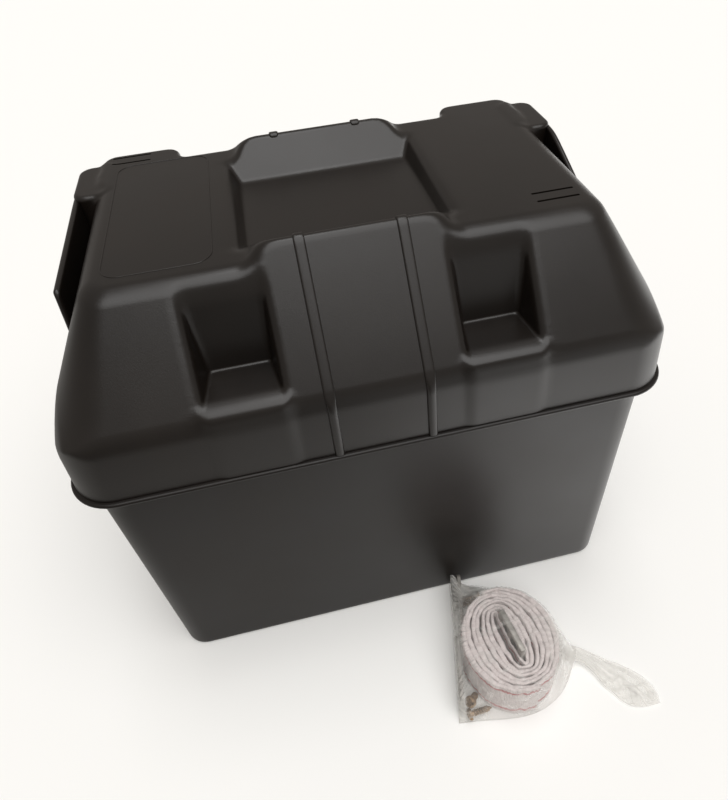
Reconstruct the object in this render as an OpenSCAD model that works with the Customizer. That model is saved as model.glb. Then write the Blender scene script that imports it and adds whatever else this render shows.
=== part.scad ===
// Battery box: a moulded tub with a lift-off lid, and its hold-down strap kit
// rolled up in a clear bag beside it. Millimetres, +Z up. The origin is the
// middle of the tub's underside, +X runs along the length, -Y is the front.

/* [Tub] */
// Length of the tub at its foot
body_l = 280; // [270:1:330]
// Depth of the tub at its foot, front to back
body_w = 188; // [176:1:220]
// Height of the tub to the underside of its rim
body_h = 163.4; // [130:0.1:220]
// How far each wall leans out by the time it reaches the rim
body_lean = 3.6; // [1:0.1:8]
// Thickness of the tub's walls
body_wall = 3; // [2:0.1:4]
// Thickness of the tub's bottom
body_floor = 3.2; // [2:0.1:6]
// Radius of the tub's upright corners
body_r = 14; // [8:0.5:24]
// Radius along the tub's bottom edge
foot_r = 3; // [1:0.5:6]

/* [Rim] */
// How far the rim stands out from the tub's wall
rim_reach = 8.7; // [7:0.1:14]
// Thickness of the rim
rim_t = 2.6; // [1.6:0.1:4]
// Height of the upstand that the lid drops over
lip_h = 6; // [3:0.5:12]
// Thickness of the upstand
lip_t = 2.4; // [1.6:0.1:3]
// Gap between the upstand and the inside of the lid
lip_gap = 0.5; // [0.3:0.1:1]
// Gap under the lid where it sits on the rim
seat_gap = 0.3; // [0.2:0.1:0.6]

/* [Lid] */
// Thickness of the lid
lid_wall = 2.8; // [2:0.1:3.4]
// How far the rim shows outside the lid's skirt
skirt_set = 2.1; // [1:0.1:3]
// Height of the skirt up to the shoulder
skirt_h = 33.4; // [24:0.1:50]
// How far the skirt leans in on its way up
skirt_lean = 1.1; // [0:0.1:3]
// Radius of the skirt's upright corners
skirt_r = 22; // [16:0.5:28]
// Height from the shoulder to the plateau
slope_h = 52.6; // [44:0.1:70]
// How far the ends slope in on that height
slope_run_x = 29.6; // [22:0.1:38]
// How far the front and back slope in on that height
slope_run_y = 38.2; // [30:0.1:44]
// Size of the rounding at the shoulder
shoulder_round = 13; // [6:0.5:18]
// Size of the rounding round the plateau
brow_round = 5; // [2:0.5:8]
// Radius of the plateau's corners
top_r = 10; // [8:0.5:16]

/* [Strap trough and crests] */
// Depth of the trough below the plateau
trough_d = 8.3; // [5:0.1:12]
// Length of the trough's floor, along X
trough_l = 93; // [80:0.5:104]
// Width of the trough's floor, front to back
trough_w = 71; // [60:0.5:76]
// How far the trough's end walls lean out up to the plateau
trough_lean = 5.5; // [2:0.1:8]
// Height of the crests above the plateau
crest_h = 8.9; // [5:0.1:12]
// Length of each crest along its top
crest_l = 77; // [60:0.5:82]
// How far each crest's end runs out down to the plateau
crest_run = 9.5; // [5:0.5:11]
// Radius along the top of each crest
crest_r = 2.5; // [1.5:0.1:3]

/* [Strap ribs] */
// Distance between the two ribs that keep the strap in line
rib_pitch = 46.6; // [40:0.2:56]
// Width of a rib
rib_w = 5.2; // [3:0.1:7]
// How far a rib stands out of the crest
rib_h = 1.4; // [0.8:0.1:2]

/* [Front pockets] */
// Distance of each pocket's middle from the lid's middle
pocket_x = 60.7; // [56:0.1:66]
// Width of a pocket where it breaks the front slope
pocket_w = 38; // [30:0.5:44]
// Width of a pocket's floor at the back
pocket_back_w = 29; // [22:0.5:34]
// Height of the pocket's floor above the shoulder
pocket_rise = 7.3; // [4:0.1:20]
// Distance from the plateau down to the pocket's top edge
pocket_drop = 3.6; // [2:0.1:8]
// How far the foot of a pocket's back wall stands forward of its top
pocket_lean = 6.5; // [3:0.1:9]
// Radius in a pocket's inner corners
pocket_r = 3; // [1.5:0.1:5]

/* [Rear bumps and vents] */
// Distance of each rear bump's middle from the lid's middle
bump_x = 99.5; // [92:0.5:104]
// Width of a rear bump
bump_w = 43; // [34:0.5:48]
// How far a rear bump runs out behind the plateau
bump_out = 14.6; // [8:0.1:17]
// Radius of a bump's corners
bump_r = 8; // [5:0.5:12]
// Length of a vent slot
vent_l = 21.5; // [14:0.5:26]
// Width of a vent slot
vent_w = 1.5; // [1:0.1:2.5]
// Distance between the two vent slots of a pair
vent_pitch = 7.8; // [5:0.1:9]
// Distance of the front vents in from the plateau's end
vent_in_x = 18.2; // [16:0.1:24]
// Distance of the front vents in from the plateau's front
vent_in_y = 17.6; // [12:0.1:24]
// Distance of the rear vents in from the back of their bump
vent_back = 8.5; // [6:0.1:12]
// How far the rear vents stand out from the middle of their bump
vent_shift = 5.3; // [0:0.1:6]

/* [End grips] */
// How far each grip stands out from the plateau's end
grip_out = 14.8; // [11:0.1:17]
// Thickness of a grip's wall
grip_t = 3; // [2.4:0.1:3.6]
// Drop from the plateau to the top of a grip
grip_drop = 2.4; // [1:0.1:5]
// Where the solid rear pad of a grip begins, behind the lid's middle
grip_pad_y = 33; // [26:0.5:40]
// Where a grip ends at the back, behind the lid's middle
grip_back_y = 70; // [60:0.5:72]
// Reach of the left grip in front of the lid's middle
grip_left_reach = 50; // [36:0.5:56]
// Length of the left grip's cut-off front end
grip_left_cut = 4; // [2:0.5:10]
// Reach of the right grip's foot in front of the lid's middle
grip_right_reach = 26; // [10:0.5:40]
// Length of the right grip's long front taper
grip_right_cut = 55; // [40:0.5:58]
// Radius of the pad's rear corner
pad_r = 8; // [4:0.5:10]
// Rounding along the top of the pad
pad_brow = 1.5; // [1:0.1:2]

/* [Strap] */
// Width of the webbing
strap_w = 32; // [25:0.5:38]
// Thickness of the webbing
strap_t = 1.2; // [0.8:0.1:1.3]
// Layers of webbing from the core of the roll to its outside
roll_layers = 7; // [4:1:7]
// Half length of the roll's core
core_a = 17.6; // [17:0.1:21]
// Half width of the roll's core
core_b = 6.8; // [6.6:0.1:9]
// Step from one layer to the next at the roll's long ends
step_a = 2.2; // [2.15:0.05:2.6]
// Step from one layer to the next at the roll's sides
step_b = 2.85; // [2.7:0.05:3.2]
// Turn of the outermost layer against the core, in degrees
roll_turn = 12; // [0:1:14]
// Distance of the roll's middle along the bag's sealed edge
roll_along = 51; // [44:0.5:60]
// Space between the roll and the brackets beside it
roll_play = 0.5; // [0.3:0.1:3]

/* [Buckle] */
// Length of the buckle across its two slots
buckle_l = 27; // [23:0.5:28]
// Thickness of the buckle
buckle_t = 3.6; // [3:0.1:4]
// Width of the buckle's three bars that the webbing goes round
buckle_bar = 4; // [3:0.1:5]
// Width of the buckle's end bars
buckle_end = 3; // [2:0.1:4]
// Play of the webbing in the slots of the buckle and brackets
slot_play = 0.8; // [0.5:0.1:2]

/* [Brackets and screws] */
// Height of a hold-down bracket
bracket_h = 20; // [18:0.5:24]
// Thickness of a hold-down bracket
bracket_t = 2.2; // [1.6:0.1:2.6]
// Width of the bars at the ends of a bracket's strap slot
bracket_bar = 3.2; // [2.5:0.1:5]
// Height of a bracket's strap slot
bracket_slot = 5.4; // [5:0.1:7]
// Distance of the first bracket from the bag's near corner
bracket_start = 2.4; // [2:0.1:4]
// Space between the brackets along the sealed edge
bracket_space = 1; // [0.5:0.1:2]
// Distance from the sealed edge to the brackets
bracket_in = 0.4; // [0.3:0.1:1]
// Diameter of a screw's shank
screw_d = 4; // [3:0.1:4.5]
// Length of a screw under its head
screw_l = 13; // [8:0.5:14]
// Diameter of a screw's head
screw_head_d = 7.4; // [6:0.1:8]
// Height of a screw's head
screw_head_h = 2.4; // [1.8:0.1:3]
// Play of a screw in its hole
screw_play = 0.5; // [0.3:0.1:1]
// Distance of the front screws from the far end of the sealed edge
screws_from_end = 4; // [3.5:0.1:6]
// Distance of the front screws in from the sealed edge
screws_in = 3.6; // [3:0.1:8]

/* [Bag] */
// Thickness of the bag's film as it is modelled
film_t = 0.5; // [0.4:0.1:0.8]
// Gap kept between the film and what lies in it
film_gap = 0.3; // [0.3:0.1:0.8]
// Distance from the tub to the nearest corner of the bag
kit_gap = 0.8; // [0.7:0.1:2]
// Place of the bag's near corner along X
kit_x = 34.5; // [0:0.5:60]
// Length of the bag's sealed edge
seal_l = 87; // [86:0.5:96]
// Lean of the sealed edge from the front-to-back line, in degrees
seal_turn = 13; // [8:0.5:18]
// Distance from the roll's middle to the neck of the bag, along X
neck_x = 40; // [36:0.5:48]
// Distance from the roll's middle forward to the neck
neck_y = 10; // [0:0.5:20]
// Width of the gathered neck
neck_w = 10; // [6:0.5:14]
// Height of the gathered neck
neck_h = 12; // [8:0.5:20]
// Direction of the tail below the X line, in degrees
tail_turn = 39; // [20:1:60]
// Length of the tail
tail_l = 48; // [30:1:60]
// Half width of the bag's flared tail
tail_half = 11.5; // [8:0.5:16]
// Thickness of the gathered film in the tail
tail_t = 2.4; // [1.6:0.1:4]

/* [Hidden] */
eps = 0.01;
black = [0.15, 0.14, 0.13];
grey = [0.45, 0.45, 0.44];
steps_corner = 32;

// Tub and rim
tub_x = body_l/2;
tub_y = body_w/2;
top_x = tub_x + body_lean;
top_y = tub_y + body_lean;
rim_x = top_x + rim_reach;
rim_y = top_y + rim_reach;
rim_z = body_h + rim_t;

// Lid: half sizes and levels
skirt_x = rim_x - skirt_set;
skirt_y = rim_y - skirt_set;
skirt_z = rim_z + seat_gap;
sh_x = skirt_x - skirt_lean;
sh_y = skirt_y - skirt_lean;
sh_z = skirt_z + skirt_h;
pl_x = sh_x - slope_run_x;
pl_y = sh_y - slope_run_y;
pl_z = sh_z + slope_h;
lip_x = skirt_x - lid_wall - lip_gap;
lip_y = skirt_y - lid_wall - lip_gap;
lip_r = skirt_r - lid_wall - lip_gap;
rim_r = skirt_r + skirt_set;

// Half size of the lid's long front or end slope at a height
function slope_y(z) = sh_y - (z - sh_z)*slope_run_y/slope_h;
function slope_x(z) = sh_x - (z - sh_z)*slope_run_x/slope_h;

trough_z = pl_z - trough_d;
crest_z = pl_z + crest_h;
crest_y = slope_y(crest_z);
// The ramp from the trough's floor up to a crest: run per unit of rise
ramp_run = (crest_y - trough_w/2)/(crest_z - trough_z);
ramp_in = sqrt(1 + ramp_run*ramp_run);
cut_z = crest_z + 3;

pocket_z = sh_z + pocket_rise;
pocket_top_z = pl_z - pocket_drop;
pocket_top_y = slope_y(pocket_top_z);
pocket_foot_y = pocket_top_y + pocket_lean;
pocket_out = 12;

grip_x = pl_x + grip_out;
grip_z = pl_z - grip_drop;
// Height at which the end slope reaches the inside of a grip's wall
grip_foot_z = sh_z + (sh_x - grip_x + grip_t)*slope_h/slope_run_x;

// A level of the lid's outline: height, half sizes and corner radius
function bend(a, b, c, u) = a*(1 - u)*(1 - u) + 2*b*u*(1 - u) + c*u*u;
// f is 0 at the shoulder and 1 at the plateau, e pulls the outline in by itself
function level(z, f, e, t) = [z,
    (sh_x - t) - f*(slope_run_x - 0.42*t) - e,
    (sh_y - t) - f*(slope_run_y - 0.37*t) - e,
    max(1, (skirt_r - t)*(1 - f) + top_r*f - max(0, e))];
function lid_levels(t) = let (
    z0 = sh_z - 0.3*t,
    z1 = pl_z - t,
    h = z1 - z0,
    a = shoulder_round,
    b = brow_round)
    concat(
        [level(skirt_z - (t > 0 ? 1 : 0), 0, -skirt_lean, t)],
        [for (u = [0:0.2:1]) level(bend(z0 - a, z0, z0 + a, u), bend(0, 0, a/h, u),
            -skirt_lean*a/skirt_h*(1 - u)*(1 - u), t)],
        [for (u = [0:0.25:1]) level(bend(z1 - b, z1, z1, u), bend(1 - b/h, 1, 1, u),
            bend(0, 0, b, u), t)]);

module slab(x, y, r, h = eps) {
    linear_extrude(h) hull()
        for (i = [-1, 1], j = [-1, 1]) translate([i*(x - r), j*(y - r)]) circle(r, $fn = steps_corner);
}

module level_slab(l) { translate([0, 0, l[0]]) slab(l[1], l[2], l[3]); }

// Tub: a leaning shell with a rim all round and an upstand inside the lid
module tub_form(inset, z0, z1) {
    // foot half sizes grow by the lean over the height of the tub
    function grow(z) = body_lean*z/body_h;
    foot = max(0, foot_r - inset);
    hull() {
        translate([0, 0, z0]) slab(tub_x - inset - foot, tub_y - inset - foot, body_r - inset - foot);
        translate([0, 0, z0 + foot*0.3])
            slab(tub_x - inset - foot*0.3, tub_y - inset - foot*0.3, body_r - inset - foot*0.3);
        translate([0, 0, z0 + foot])
            slab(tub_x - inset + grow(foot), tub_y - inset + grow(foot), body_r - inset);
        translate([0, 0, z1])
            slab(tub_x - inset + grow(z1), tub_y - inset + grow(z1), body_r - inset + grow(z1));
    }
}

module rim() {
    edge = rim_t/2;
    translate([0, 0, body_h]) hull() {
        translate([0, 0, edge*0.3]) slab(rim_x, rim_y, rim_r, rim_t - edge*0.6);
        slab(rim_x - edge*0.5, rim_y - edge*0.5, rim_r - edge*0.5, rim_t);
    }
}

module box_body() {
    color(black) difference() {
        union() {
            tub_form(0, 0, body_h);
            rim();
            translate([0, 0, body_h]) slab(lip_x, lip_y, lip_r, rim_t + lip_h);
        }
        tub_form(body_wall, body_floor, rim_z);
        translate([0, 0, rim_z]) slab(lip_x - lip_t, lip_y - lip_t, lip_r - lip_t, lip_h + 1);
    }
}

// Lid: its form is made twice, once full size and once inset by the wall
module lid_main(t) {
    hull() for (l = lid_levels(t)) level_slab(l);
}

module crest(t) {
    peak = crest_r - min(t, crest_r - 0.4);
    low_z = pl_z - 8 - t;
    // set back square to the slope by the wall
    back = t*sqrt(slope_h*slope_h + slope_run_y*slope_run_y)/slope_h;
    half = crest_l/2 + crest_run;
    for (s = [0, 1]) mirror([0, s, 0]) hull() {
        translate([0, slope_y(crest_z - t) - back - peak*0.75, crest_z - t - peak])
            rotate([0, 90, 0]) cylinder(h = crest_l - 2*t, r = peak, center = true, $fn = 24);
        // set in a little from the slope, so that the two never share a face
        for (k = [[low_z, 0.4], [pl_z - t - 1, 0.05]]) translate([-(half - t), trough_w/2 - 6, k[0]])
            cube([2*(half - t), slope_y(k[0]) - back - k[1] - trough_w/2 + 6, eps]);
    }
}

// The trough's cut, grown by g when it is kept out of the lid's inside
module trough(g) {
    floor_z = trough_z - g;
    lean = trough_lean/trough_d;
    grow_x = g*sqrt(1 + lean*lean);
    grow_y = g*ramp_in;
    module at(z) {
        x = trough_l/2 + lean*(z - trough_z) + grow_x;
        y = trough_w/2 + ramp_run*(z - trough_z) + grow_y;
        translate([0, 0, z]) slab(x, y, 1.5);
    }
    hull() {
        at(floor_z);
        at(cut_z);
    }
}

// Ribs: rods that lie mostly in the surface, from the crest down the slope,
// over the shoulder and down the skirt to its lower edge
module ribs() {
    r = (rib_w*rib_w/4 + rib_h*rib_h)/(2*rib_h);
    sunk = r - rib_h;
    slope_len = norm([slope_h, slope_run_y]);
    in_y = sunk*slope_h/slope_len;
    in_z = sunk*slope_run_y/slope_len;
    near = shoulder_round*slope_h/slope_len;
    // the middle of the shoulder's rounding lies this far inside its corner
    cut = shoulder_round*slope_run_y/slope_len/4;
    // each stop is a distance from the middle and a height
    stops = [
        [slope_y(crest_z - r*0.6) - in_y - r*0.5, crest_z - r*0.6],
        [slope_y(crest_z - crest_r - r) - in_y, crest_z - crest_r - r - in_z],
        [slope_y(sh_z + near) - in_y, sh_z + near - in_z],
        [sh_y - sunk - cut, sh_z - in_z/2],
        [sh_y - sunk + skirt_lean*near/skirt_h, sh_z - near],
        [skirt_y - sunk - skirt_lean*r/skirt_h, skirt_z + r]];
    for (s = [-1, 1], m = [0, 1]) mirror([0, m, 0]) translate([s*rib_pitch/2, 0, 0])
        for (i = [0:len(stops) - 2]) hull() for (k = [i, i + 1])
            translate([0, stops[k][0], stops[k][1]]) sphere(r, $fn = 20);
}

module pocket(g) {
    floor_z = pocket_z - g;
    front_y = slope_y(pocket_z) + pocket_out;
    lean = pocket_lean/(pocket_top_z - pocket_z);
    high_z = pl_z + 2;
    // half widths at the back and at the front, at the floor and at the top
    module post(half, y, z) { translate([half, -y, z]) cylinder(h = eps, r = pocket_r, $fn = 24); }
    for (s = [-1, 1]) translate([s*pocket_x, 0, 0]) hull() for (m = [-1, 1]) {
        post(m*(pocket_back_w/2 - pocket_r + g), pocket_foot_y - g + pocket_r, floor_z);
        post(m*(pocket_w/2 - pocket_r + g), front_y, floor_z);
        post(m*(pocket_w/2 - pocket_r + g), pocket_foot_y - g + pocket_r - lean*(high_z - pocket_z), high_z);
        post(m*(pocket_w/2 - pocket_r + g), front_y, high_z);
    }
}

module bumps(t) {
    half = bump_w/2 - t;
    y0 = pl_y - 20;
    out = pl_y + bump_out - t;
    low_z = slope_z_at(out + 3) - 6;
    module at(z, x, y) {
        translate([0, (y + y0)/2, z]) slab(x, (y - y0)/2, bump_r - t*0.5);
    }
    for (s = [-1, 1]) translate([s*bump_x, 0, 0]) hull() {
        at(low_z, half + 3, out + 5);
        at(pl_z - t - 4, half, out);
        at(pl_z - t - 1.2, half - 1, out - 1);
        at(pl_z - t, half - 3.2, out - 3.2);
    }
}

// Height of the front or rear slope at a distance from the middle
function slope_z_at(y) = sh_z + (sh_y - y)*slope_h/slope_run_y;

// End grips: a solid pad behind, and a thin wall that stands off the end slope
module grip_pad(t) {
    low = grip_foot_z - 8;
    for (s = [0, 1]) mirror([s, 0, 0]) hull() {
        translate([pl_x - 12, grip_pad_y + t, low])
            cube([eps, grip_back_y - grip_pad_y - 2*t, pl_z - low - t]);
        // a large corner behind and a small one in front, both rounded along the top
        for (k = [[low, 0], [grip_z - t - pad_brow, 0], [grip_z - t, pad_brow]]) {
            translate([grip_x - t - pad_r, grip_back_y - t - pad_r, k[0]])
                cylinder(h = eps, r = pad_r - k[1], $fn = 32);
            translate([grip_x - t - grip_t, grip_pad_y + t + grip_t, k[0]])
                cylinder(h = eps, r = grip_t - k[1], $fn = 16);
        }
    }
}

module grip_wall(s, reach, cut) {
    low = grip_foot_z - 8;
    mirror([s, 0, 0]) translate([grip_x - grip_t, 0, 0]) rotate([90, 0, 90]) linear_extrude(grip_t)
        polygon([[grip_pad_y + 4, low], [grip_pad_y + 4, grip_z - 0.4], [grip_pad_y, grip_z - 0.4],
                 [-reach + cut, grip_z - (cut > 20 ? 0.4 : 3)], [-reach, grip_foot_z - 4], [-reach, low]]);
}

module vents() {
    for (k = [-0.5, 0.5]) {
        translate([pl_x - vent_in_x, -(pl_y - vent_in_y) + k*vent_pitch, pl_z]) vent();
        translate([-(bump_x + vent_shift), pl_y + bump_out - vent_back + k*vent_pitch, pl_z]) vent();
    }
}

module vent() { cube([vent_l, vent_w, 4*lid_wall], center = true); }

module lid_form(t) {
    difference() {
        union() {
            lid_main(t);
            crest(t);
            bumps(t);
            grip_pad(t);
        }
        trough(t);
        pocket(t);
    }
}

module lid() {
    color(black) difference() {
        union() {
            lid_form(0);
            ribs();
            grip_wall(1, grip_left_reach, grip_left_cut);
            grip_wall(0, grip_right_reach, grip_right_cut);
        }
        lid_form(lid_wall);
        vents();
    }
}

// The kit is set out from the bag's sealed edge: along it, and in from it
kit_y = -(tub_y + kit_gap);
inner_z = film_t + film_gap;
function on_edge(along, in) = [
    kit_x - along*sin(seal_turn) + in*cos(seal_turn),
    kit_y - along*cos(seal_turn) - in*sin(seal_turn)];

bracket_l = strap_w + slot_play + 2*bracket_bar;
bracket_end = bracket_start + 2*bracket_l + bracket_space;

// Half length and half width of the roll, and how far it reaches towards the edge
roll_a = core_a + step_a*roll_layers + strap_t/2;
roll_b = core_b + step_b*roll_layers + strap_t/2;
roll_skew = roll_turn + seal_turn;
roll_half = norm([roll_a*sin(roll_skew), roll_b*cos(roll_skew)]);
roll_at = on_edge(roll_along, bracket_in + bracket_t + roll_play + roll_half);

// The roll: the strap is folded in half round the core and wound up double,
// so one strip runs from an outer end in to the core and out again.
loop_steps = 28;
arm_turns = roll_layers/2;

// A point of one arm of the roll, q turns out from the core
function square_off(v, p) = sign(v)*pow(abs(v), p);
function arm(q) = let (
    a = core_a + 2*step_a*q,
    b = core_b + 2*step_b*q,
    p = 0.75 + 0.25*q/arm_turns,
    g = 360*q,
    x = a*square_off(cos(g), p),
    y = b*square_off(sin(g), p),
    w = -90 + roll_turn*q/arm_turns)
    [x*cos(w) - y*sin(w), x*sin(w) + y*cos(w)];
arm_pts = [for (i = [loop_steps*arm_turns:-1:1]) arm(i/loop_steps)];
// the strip crosses the core from the end of one arm to the end of the other
fold = [[strap_t*0.4, strap_t*0.4 - core_a], [0, strap_t*1.6 - core_a]];
half_path = concat(arm_pts, fold);
strap_path = concat(half_path, [for (i = [len(half_path) - 1:-1:0]) -half_path[i]]);

function unit(v) = v/norm(v);
function side(p, i) = let (
    a = p[max(0, i - 1)],
    b = p[min(len(p) - 1, i + 1)],
    d = unit(b - a))
    [-d[1], d[0]];
function strip(p, w) = concat(
    [for (i = [0:len(p) - 1]) p[i] + side(p, i)*w/2],
    [for (i = [len(p) - 1:-1:0]) p[i] - side(p, i)*w/2]);

function path_len(p, i = 0, s = 0) = i >= len(p) - 1 ? s : path_len(p, i + 1, s + norm(p[i + 1] - p[i]));
// Distance from a point to a stretch of the path
function seg_dist(c, a, b) = let (d = b - a, u = max(0, min(1, (c - a)*d/(d*d)))) norm(a + u*d - c);
roll_gap = min([for (i = [0:len(strap_path) - 1], j = [0:len(strap_path) - 2])
    if (abs(i - j) > 6) seg_dist(strap_path[i], strap_path[j], strap_path[j + 1])]) - strap_t;
echo(strap_length = path_len(strap_path), least_gap_in_roll = roll_gap);

module strap_webbing() {
    color("whitesmoke") translate([roll_at[0], roll_at[1], inner_z])
        linear_extrude(strap_w) polygon(strip(strap_path, strap_t));
}

// Buckle: a flat frame with two slots, beside the strap in the middle of the roll
buckle_h = strap_w + slot_play + 2*buckle_end;
buckle_off = strap_t/2 + 0.4;

module strap_buckle() {
    slot_l = (buckle_l - 3*buckle_bar)/2;
    color(grey) translate([roll_at[0] + buckle_off, roll_at[1], inner_z]) difference() {
        translate([0, -buckle_l/2, 0]) cube([buckle_t, buckle_l, buckle_h]);
        for (y = [buckle_bar/2, -buckle_bar/2 - slot_l]) translate([-1, y, buckle_end])
            cube([buckle_t + 2, slot_l, strap_w + slot_play]);
    }
}

// Brackets stand on edge along the bag's sealed edge, one after the other
module on_seal(along, in) {
    at = on_edge(along, in);
    translate([at[0], at[1], inner_z]) rotate(270 - seal_turn) children();
}

module bracket() {
    hole_d = screw_d + screw_play;
    slot_l = strap_w + slot_play;
    color(grey) rotate([90, 0, 0]) linear_extrude(bracket_t) difference() {
        hull() {
            translate([bracket_bar, bracket_bar]) circle(bracket_bar, $fn = 32);
            translate([bracket_l - bracket_bar, bracket_bar]) circle(bracket_bar, $fn = 32);
            translate([bracket_bar, bracket_h - bracket_bar]) circle(bracket_bar, $fn = 32);
            translate([bracket_l - bracket_bar, bracket_h - bracket_bar]) circle(bracket_bar, $fn = 32);
        }
        translate([bracket_bar, bracket_h - bracket_bar - bracket_slot]) square([slot_l, bracket_slot]);
        for (x = [bracket_l*0.2, bracket_l*0.8]) translate([x, bracket_bar + hole_d/2])
            circle(d = hole_d, $fn = 32);
    }
}

module bracket_upper() { on_seal(bracket_start, bracket_in + bracket_t) bracket(); }

module bracket_lower() {
    on_seal(bracket_end - bracket_l, bracket_in + bracket_t) bracket();
}

// A wood screw lying along X, its head at the left
screw_neck = screw_l*0.72;
screw_len = screw_l + screw_head_h;

module screw() {
    rotate([0, 90, 0]) {
        cylinder(h = screw_head_h, d1 = screw_head_d*0.62, d2 = screw_head_d, $fn = 32);
        translate([0, 0, screw_head_h - eps]) cylinder(h = screw_neck + eps, d = screw_d, $fn = 32);
        translate([0, 0, screw_head_h + screw_neck - eps])
            cylinder(h = screw_l - screw_neck, d1 = screw_d, d2 = 0.8, $fn = 32);
    }
}

// Two screws, one over the other and head to tail
module screw_pair() {
    over = screw_head_d/2 + screw_d/2 + 0.3;
    translate([0, 0, screw_head_d/2]) screw();
    translate([screw_len, 0, screw_head_d/2 + over]) rotate(180) screw();
}

// One pair lies in the bag's front corner, one behind the roll
module bracket_screws() {
    front = on_edge(seal_l - screws_from_end, screws_in);
    back = on_edge(bracket_start + screw_head_d*1.9, screws_in);
    color("darkgoldenrod") {
        translate([front[0], front[1], inner_z]) screw_pair();
        translate([back[0], back[1], inner_z]) screw_pair();
    }
}

// Bag: a film shell over everything in it, gathered at the neck into a tail
neck = [roll_at[0] + neck_x, roll_at[1] - neck_y];

// w is the distance from the things in the bag to this surface
module bag_form(w, floor_z) {
    edge_top = inner_z + bracket_h + w;
    module upright(p, r, top) {
        translate([p[0], p[1], floor_z]) cylinder(h = top - floor_z, r = r, $fn = 24);
    }
    hull() {
        translate([roll_at[0], roll_at[1], floor_z]) linear_extrude(inner_z + strap_w + w - floor_z)
            rotate(roll_turn - 90) scale([roll_a + w, roll_b + w]) circle(1, $fn = 48);
        translate([roll_at[0] + buckle_off - w, roll_at[1] - buckle_l/2 - w, floor_z])
            cube([buckle_t + 2*w, buckle_l + 2*w, inner_z + buckle_h + w - floor_z]);
        upright(on_edge(0, 0), w, inner_z);
        upright(on_edge(seal_l, 0), w, inner_z);
        for (in = [bracket_in, bracket_in + bracket_t]) {
            upright(on_edge(bracket_start, in), w, edge_top);
            upright(on_edge(bracket_end, in), w, edge_top);
        }
        upright(neck, neck_w/2 + w, neck_h + w);
    }
}

// The tail narrows from the neck to a twist, flares out and ends rounded
module tail() {
    dir = [cos(tail_turn), -sin(tail_turn)];
    out = [sin(tail_turn), cos(tail_turn)];
    // each stop is a distance from the neck, a half width and a height
    stops = [[0.06*tail_l, neck_w/2, neck_h*0.6], [0.3*tail_l, tail_half*0.56, tail_t + 1],
             [0.62*tail_l, tail_half, tail_t], [0.83*tail_l, tail_half, tail_t*0.8],
             [tail_l, tail_half*0.6, tail_t*0.6]];
    for (i = [0:len(stops) - 2]) hull() for (k = [i, i + 1], m = [-1, 1])
        translate(concat(neck + dir*stops[k][0] + out*m*(stops[k][1] - tail_t), 0))
            cylinder(h = stops[k][2], r = tail_t, $fn = 16);
}

module kit_bag() {
    color([0.8, 0.85, 0.85, 0.4]) difference() {
        union() {
            bag_form(film_gap + film_t, 0);
            tail();
        }
        bag_form(film_gap, film_t);
    }
}

box_body();
lid();
strap_webbing();
strap_buckle();
bracket_upper();
bracket_lower();
bracket_screws();
kit_bag();
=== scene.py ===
import bmesh
import bpy
import numpy as np
from mathutils import Matrix, Vector


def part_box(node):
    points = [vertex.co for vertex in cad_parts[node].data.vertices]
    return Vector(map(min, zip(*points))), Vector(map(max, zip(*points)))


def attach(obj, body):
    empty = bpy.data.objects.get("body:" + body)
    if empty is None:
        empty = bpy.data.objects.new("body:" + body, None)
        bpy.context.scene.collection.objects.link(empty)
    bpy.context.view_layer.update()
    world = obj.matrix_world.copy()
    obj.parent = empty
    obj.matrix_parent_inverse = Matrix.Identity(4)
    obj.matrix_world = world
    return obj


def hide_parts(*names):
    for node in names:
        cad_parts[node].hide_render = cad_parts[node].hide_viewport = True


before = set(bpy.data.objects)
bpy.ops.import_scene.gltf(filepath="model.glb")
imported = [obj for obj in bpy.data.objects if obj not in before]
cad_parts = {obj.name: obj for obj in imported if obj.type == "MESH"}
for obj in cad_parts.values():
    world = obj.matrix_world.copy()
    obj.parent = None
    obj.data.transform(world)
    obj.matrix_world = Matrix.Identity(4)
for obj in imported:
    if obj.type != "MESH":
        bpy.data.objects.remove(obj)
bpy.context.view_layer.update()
scene = bpy.context.scene
mm = 0.001
print("frame loaded:", sorted(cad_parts))


def addObject(name, data):
    obj = bpy.data.objects.new(name, data)
    scene.collection.objects.link(obj)
    return obj


# The camera.
# Its place and its aim come from the box's own edges in the photograph.
camera = {
    "place": (-30.67, -314.06, 406.62),  # mm
    "azimuth": -9.44,  # degrees
    "elevation": 42.74,
    "roll": -4.95,
    "lens": 29.5,  # mm
    "sensor": 36.0,  # mm
    "shift": (-0.0324, -0.0299),
    "clip": (0.02, 20.0),  # m
}


def addCamera(c):
    # back points from the subject to the camera, right and up span the picture
    az, el, roll = np.radians([c["azimuth"], c["elevation"], c["roll"]])
    back = np.array([np.sin(az) * np.cos(el), -np.cos(az) * np.cos(el), np.sin(el)])
    level = np.array([np.cos(az), np.sin(az), 0.0])
    over = np.cross(back, level)
    right = level * np.cos(roll) + over * np.sin(roll)
    up = -level * np.sin(roll) + over * np.cos(roll)
    data = bpy.data.cameras.new("camera")
    data.sensor_width, data.lens = c["sensor"], c["lens"]
    data.shift_x, data.shift_y = c["shift"]
    data.clip_start, data.clip_end = c["clip"]
    turn = Matrix(np.column_stack([right, up, back]).tolist()).to_4x4()
    scene.camera = addObject("camera", data)
    scene.camera.matrix_world = Matrix.Translation([v * mm for v in c["place"]]) @ turn


addCamera(camera)
print("camera set")


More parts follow.
